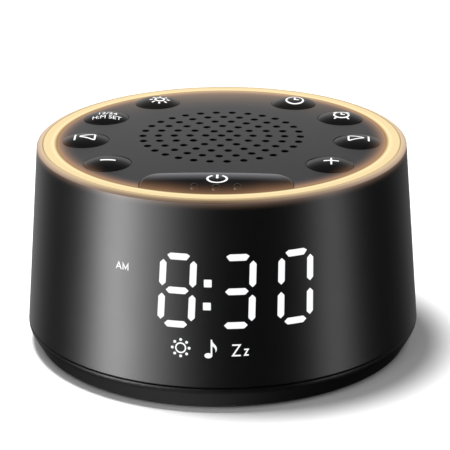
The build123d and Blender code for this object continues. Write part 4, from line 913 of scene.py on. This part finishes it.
note_head = moved(sized([at_turn(1, turn) for turn in range(0, -301, -20)], 1.02, 0.70), -0.62, -1.80)
note_tail = [(-0.02, 2.5), (0.34, 2.5), (0.46, 1.95), (0.80, 1.45), (1.28, 0.95), (1.55, 0.35), (1.52, -0.35),
             (1.22, -0.95), (1.24, -0.40), (1.08, 0.15), (0.78, 0.50), (0.40, 0.74)]
shine("sign_note", [note_tail + note_head + [(-0.02, -1.24)]], [], NOTE_ANGLE, SIGNS_Z)


def letter_z(width, height, centre):
    """One letter Z as a stroke."""
    half, tall = width / 2, (height - SIGN_LINE) / 2
    path = [(-half, tall), (half - 0.15, tall), (0.15 - half, -tall), (half, -tall)]
    return moved(stroke(path, SIGN_LINE), *centre)


shine("sign_sleep", [letter_z(2.2, 3.2, (-1.16, -0.4)), letter_z(1.15, 1.9, (1.38, -1.0))], [],
      SLEEP_ANGLE, SIGNS_Z)
print("signs stand", round((RING_TOP - SIGNS_Z) / MM, 1), "mm below the ring's top")

# %% [markdown]
# ## Symbols on the caps
# Each cap carries one printed symbol: a lamp, back, minus, timer, alarm, forward or plus. They are drawn
# upright as the user sees them from the front. A shift puts each one a little in front of the middle of
# its dome, where it is seen best, and a stretch gives it its width and height. The forward symbol is
# the back symbol in a mirror. The power bar carries the usual open ring with a line, drawn flatter than
# a circle to fit the narrow bar. Modelled strokes are used instead of a picture, so the symbols stay
# sharp at any distance.

# %% Draw the cap symbols
LINE = 0.48
HALF_CROSS = 2.0
lamp_rays = [stroke([at_turn(1.75, turn), at_turn(2.6, turn)], LINE) for turn in range(0, 360, 45)]
timer_hands = stroke([(0, 1.5), (0, 0), (1.15, 0)], LINE)
alarm_hands = stroke([(0, 1.25), (0, 0), (0.95, 0)], LINE)
feet = [stroke([(side * 1.45, -1.75), (side * 2.0, -2.45)], LINE) for side in (1, -1)]
bells = [stroke(arc(2.75, start, start + 24, 6), LINE) for start in (38, 118)]
triangle = moved(rounded([(-2.4, 0), (1.9, 2.0), (1.9, -2.0)], 0.7), 0.6, 0)
back_line = [(-2.9, -1.9), (-2.9, 1.9)]
cross = [(-HALF_CROSS, -0.25), (-0.22, -0.25), (-0.22, -HALF_CROSS), (0.22, -HALF_CROSS), (0.22, -0.25),
         (HALF_CROSS, -0.25), (HALF_CROSS, 0.25), (0.22, 0.25), (0.22, HALF_CROSS), (-0.22, HALF_CROSS),
         (-0.22, 0.25), (-HALF_CROSS, 0.25)]
print("plus sign", 2 * HALF_CROSS, "mm across")

# %% Lay the symbols on their caps
SYMBOLS = {              # outlines, bands, shift in millimetres, stretch
    "light_button": (lamp_rays, [band(circle(1.15), LINE)], (0.6, -0.6), (1.10, 1.10)),
    "previous_button": ([stroke(back_line, LINE)], [band(triangle, LINE)], (0.0, -0.3), (1.0, 1.10)),
    "minus_button": ([stroke([(-2.0, 0), (2.0, 0)], 0.60)], [], (0.2, -0.9), (1.0, 1.15)),
    "timer_button": ([timer_hands], [band(circle(2.4), LINE)], (0.35, -0.45), (1.0, 1.20)),
    "alarm_button": ([alarm_hands] + feet + bells, [band(circle(2.05), LINE)], (0.34, -0.4), (1.0, 1.10)),
    "next_button": ([stroke(sized(back_line, -1, 1), LINE)], [band(sized(triangle[::-1], -1, 1), LINE)],
                    (0.23, -0.3), (1.0, 0.95)),
    "plus_button": ([cross], [], (0.34, -0.6), (1.0, 1.15)),
}
for solid_name, (outlines, bands, shift, stretch) in SYMBOLS.items():
    ink(solid_name.replace("button", "symbol"), [sized(outline, *stretch) for outline in outlines],
        [[sized(loop, *stretch) for loop in loops] for loops in bands], solid_name, *shift)

power_ring = sized(stroke(arc(2.5, 120, 420, 40), 0.55), 1.0, 0.72)
power_line = stroke([(0, 0.2), (0, 2.1)], 0.6)
ink("power_symbol", [power_ring, power_line], [], "power_bar", 0.2, 1.3)
print(len(SYMBOLS) + 1, "symbols laid")

# %% [markdown]
# ## Clock format lettering
# The clock format cap carries two short rows, 12/24 above H:M SET. Blender's own font gives clean
# letters: the text is turned into a mesh, and the relief routine then only needs its outlines. The mesh
# is kept flat and filled, so its faces go through the same cutting and laying as the drawn symbols.

# %% Letter the clock format cap


def lettering(text, size, centre):
    """Faces of a short text, each as an outline in millimetres."""
    curve = bpy.data.curves.new("lettering", "FONT")
    curve.body = text
    curve.size = size
    curve.align_x = "CENTER"
    curve.align_y = "CENTER"
    curve.resolution_u = 3
    holder = put_up("lettering", curve)
    bpy.context.view_layer.update()
    mesh = bpy.data.meshes.new_from_object(holder)
    outlines = [[(mesh.vertices[index].co.x + centre[0], mesh.vertices[index].co.y + centre[1])
                 for index in polygon.vertices] for polygon in mesh.polygons]
    bpy.data.objects.remove(holder)
    bpy.data.curves.remove(curve)
    bpy.data.meshes.remove(mesh)
    return outlines


rows = lettering("12/24", 2.5, (0, 1.15)) + lettering("H:M SET", 2.3, (0, -1.15))
ink("set_symbol", [sized(row, 1.0, 1.2) for row in rows], [], "set_button", 0.28, -0.95)
print(len(rows), "faces of lettering")

# %% [markdown]
# ## Floor and background
# The machine stands on a white floor against white. The floor is lit and keeps the soft shadow, and a little
# emission that only the camera, reflections and clear materials see lifts it to white, more so far away,
# where the lamps' light gives out. Under the base the emission is left out, which paints shade there, so that
# the machine stands on a dark line. The world is white for the same rays, and a weak grey for the light that
# it gives.

# %% Lay the floor and set the world


def seen_rays(tree):
    """1 for camera, glossy and transmission rays, else 0."""
    path = add(tree, "LightPath")
    seen = calc(tree, "MAXIMUM", path.outputs["Is Camera Ray"], path.outputs["Is Glossy Ray"])
    return calc(tree, "MAXIMUM", seen, path.outputs["Is Transmission Ray"])


FLOOR_LIFT = 0.14        # emission next to the machine
FLOOR_NEAR = 0.15        # distance where it starts to grow
FLOOR_FAR = 1.2          # and where it is full white
UNDER_BASE = 50 * MM
UNDER_FADE = 2.5 * MM
FLOOR_HALF = 4.0
floor_tree, floor_shader = new_finish("floor_white")
floor_shader.inputs["Roughness"].default_value = 0.9
floor_shader.inputs["Specular IOR Level"].default_value = 0.0
floor_cloud = add(floor_tree, "TexNoise")
floor_cloud.inputs["Scale"].default_value = 3.0
put(floor_tree, floor_shader.inputs["Base Color"],
    blend_colours(floor_tree, floor_cloud.outputs[0], grey(0.84), grey(0.86)))
floor_axes = place_axes(floor_tree)
floor_reach = length_of(floor_tree, floor_axes[0], floor_axes[1])
far_share = ramp(floor_tree, floor_reach, FLOOR_NEAR, FLOOR_FAR - FLOOR_NEAR)
floor_glow = calc(floor_tree, "MULTIPLY_ADD", far_share, 1.0 - FLOOR_LIFT, FLOOR_LIFT)
# Painted shade under the base: the emission is left out there.
floor_glow = calc(floor_tree, "MULTIPLY", floor_glow, ramp(floor_tree, floor_reach, UNDER_BASE, UNDER_FADE))
put(floor_tree, floor_shader.inputs["Emission Strength"],
    calc(floor_tree, "MULTIPLY", seen_rays(floor_tree), floor_glow))
floor_shader.inputs["Emission Color"].default_value = grey(1)
floor_mesh = bpy.data.meshes.new("floor")
floor_corners = [(-FLOOR_HALF, -FLOOR_HALF, 0), (FLOOR_HALF, -FLOOR_HALF, 0), (FLOOR_HALF, FLOOR_HALF, 0),
                 (-FLOOR_HALF, FLOOR_HALF, 0)]
floor_mesh.from_pydata(floor_corners, [], [(0, 1, 2, 3)])
floor_mesh.materials.append(finishes["floor_white"])
floor = put_up("floor", floor_mesh)
floor.visible_glossy = False

AMBIENT = 0.12
world = bpy.data.worlds.new("world")
world.use_nodes = True
bpy.context.scene.world = world
world_tree = world.node_tree
put(world_tree, world_tree.nodes["Background"].inputs["Strength"],
    calc(world_tree, "MULTIPLY_ADD", seen_rays(world_tree), 1.0 - AMBIENT, AMBIENT))
world_tree.nodes["Background"].inputs["Color"].default_value = grey(1)
print("floor and world ready")

# %% [markdown]
# ## A tent for the reflections
# A black satin drum shows little but its reflections, so these are set up with care, as a studio does
# with cards round the product. A dark ball of cloth closes round the machine. Low down it has bright
# panels to the left, a narrow one to the right and grey ones behind, a grey band behind the machine
# lights the deck, and a grey card lies under the front left, where the sloped edge of the base looks.
# Each panel is a bell curve over the azimuth, and a second curve over the height fades it. Only glossy
# rays see the ball, so it lights no floor.

# %% Paint the tent cloth
TENT_R = 1.0
TENT_DARK = 0.010
LOW_PANELS = (           # azimuth from the front to the right, half width, brightness
    (-61, 13, 11.6),
    (-38, 16, 2.8),
    (68, 10, 3.0),
    (-152, 24, 0.55),
    (162, 30, 0.27),
)
LOW_TOP = 0.50           # sine of the elevation where the low panels have faded out
LOW_FADE = 0.45
LOW_BOTTOM = -0.52       # and where they start, so that the base stays dark
LOW_RISE = 0.14
BACK_PANEL = (180, 60, 0.42)
BACK_HEIGHT = 0.30       # sine of the elevation where the back panel is brightest
BACK_SPREAD = 0.26
CARD_SIDE, CARD_HALF, CARD_LEVEL = -0.22, 0.32, 0.42    # shift to the side, half width, brightness
CARD_TOP = -0.60         # sine of the elevation where the card ends
CARD_FADE = 0.25
tent_tree, tent_shader = new_finish("tent_cloth")
tent_tree.nodes.remove(tent_shader)
tent_axes = place_axes(tent_tree)
azimuth = calc(tent_tree, "ARCTAN2", tent_axes[0], calc(tent_tree, "MULTIPLY", tent_axes[1], -1.0))
elevation = calc(tent_tree, "DIVIDE", tent_axes[2], TENT_R)


def bell(offset, half_width):
    """1 in the middle, falling off on both sides."""
    share = calc(tent_tree, "DIVIDE", offset, half_width)
    square = calc(tent_tree, "MULTIPLY", share, share)
    return calc(tent_tree, "EXPONENT", calc(tent_tree, "MULTIPLY", square, -1.0))


def panel(middle_deg, half_deg, level):
    """Soft upright panel at an azimuth."""
    turned = calc(tent_tree, "WRAP", calc(tent_tree, "SUBTRACT", azimuth, radians(middle_deg)), pi, -pi)
    return calc(tent_tree, "MULTIPLY", bell(turned, radians(half_deg)), level)


low_light = 0.0
for middle_deg, half_deg, level in LOW_PANELS:
    low_light = calc(tent_tree, "ADD", low_light, panel(middle_deg, half_deg, level))
low_share = calc(tent_tree, "MULTIPLY", ramp(tent_tree, elevation, LOW_TOP, -LOW_FADE),
                 ramp(tent_tree, elevation, LOW_BOTTOM, LOW_RISE))
low_light = calc(tent_tree, "MULTIPLY", low_light, low_share)
back_share = bell(calc(tent_tree, "SUBTRACT", elevation, BACK_HEIGHT), BACK_SPREAD)
back_light = calc(tent_tree, "MULTIPLY", panel(*BACK_PANEL), back_share)
card_light = bell(calc(tent_tree, "SUBTRACT", tent_axes[0], CARD_SIDE), CARD_HALF)
card_light = calc(tent_tree, "MULTIPLY", calc(tent_tree, "MULTIPLY", card_light, CARD_LEVEL),
                  ramp(tent_tree, elevation, CARD_TOP, -CARD_FADE))
tent_light = calc(tent_tree, "ADD", low_light, calc(tent_tree, "ADD", back_light, card_light))
tent_glow = add(tent_tree, "Emission")
put(tent_tree, tent_glow.inputs["Strength"], calc(tent_tree, "ADD", tent_light, TENT_DARK))
put(tent_tree, tent_tree.nodes["Material Output"].inputs["Surface"], tent_glow.outputs[0])
print("tent cloth with", len(LOW_PANELS) + 1, "panels and a card")

# %% Close the tent round the machine
tent_sheet = bmesh.new()
bmesh.ops.create_uvsphere(tent_sheet, u_segments=48, v_segments=24, radius=TENT_R)
tent_mesh = bpy.data.meshes.new("tent")
tent_sheet.to_mesh(tent_mesh)
tent_sheet.free()
tent_mesh.materials.append(finishes["tent_cloth"])
tent = put_up("tent", tent_mesh)
for rays in ("camera", "diffuse", "transmission", "volume_scatter", "shadow"):
    setattr(tent, "visible_" + rays, False)
print("tent of", len(tent_mesh.polygons), "faces")

# %% [markdown]
# ## Lamps
# One soft lamp hangs high on the left and a little behind, so that a short soft shadow falls to the
# right. A second one, larger and much weaker, hangs in front on the left and fills the deck.

# %% Hang the lamps


def soft_lamp(name, place, target, size, power):
    """Round area lamp that looks at a target and leaves no mark in reflections."""
    data = bpy.data.lights.new(name, "AREA")
    data.shape = "DISK"
    data.size = size
    data.energy = power
    lamp = put_up(name, data)
    lamp.location = place
    lamp.rotation_euler = (Vector(target) - Vector(place)).to_track_quat("-Z", "Y").to_euler()
    lamp.visible_glossy = False


soft_lamp("key_lamp", (-0.166, 0.076, 0.93), (0, 0, 0.02), 0.24, 12.0)
soft_lamp("fill_lamp", (-0.35, -0.60, 0.90), (0, 0, 0.03), 0.60, 0.8)
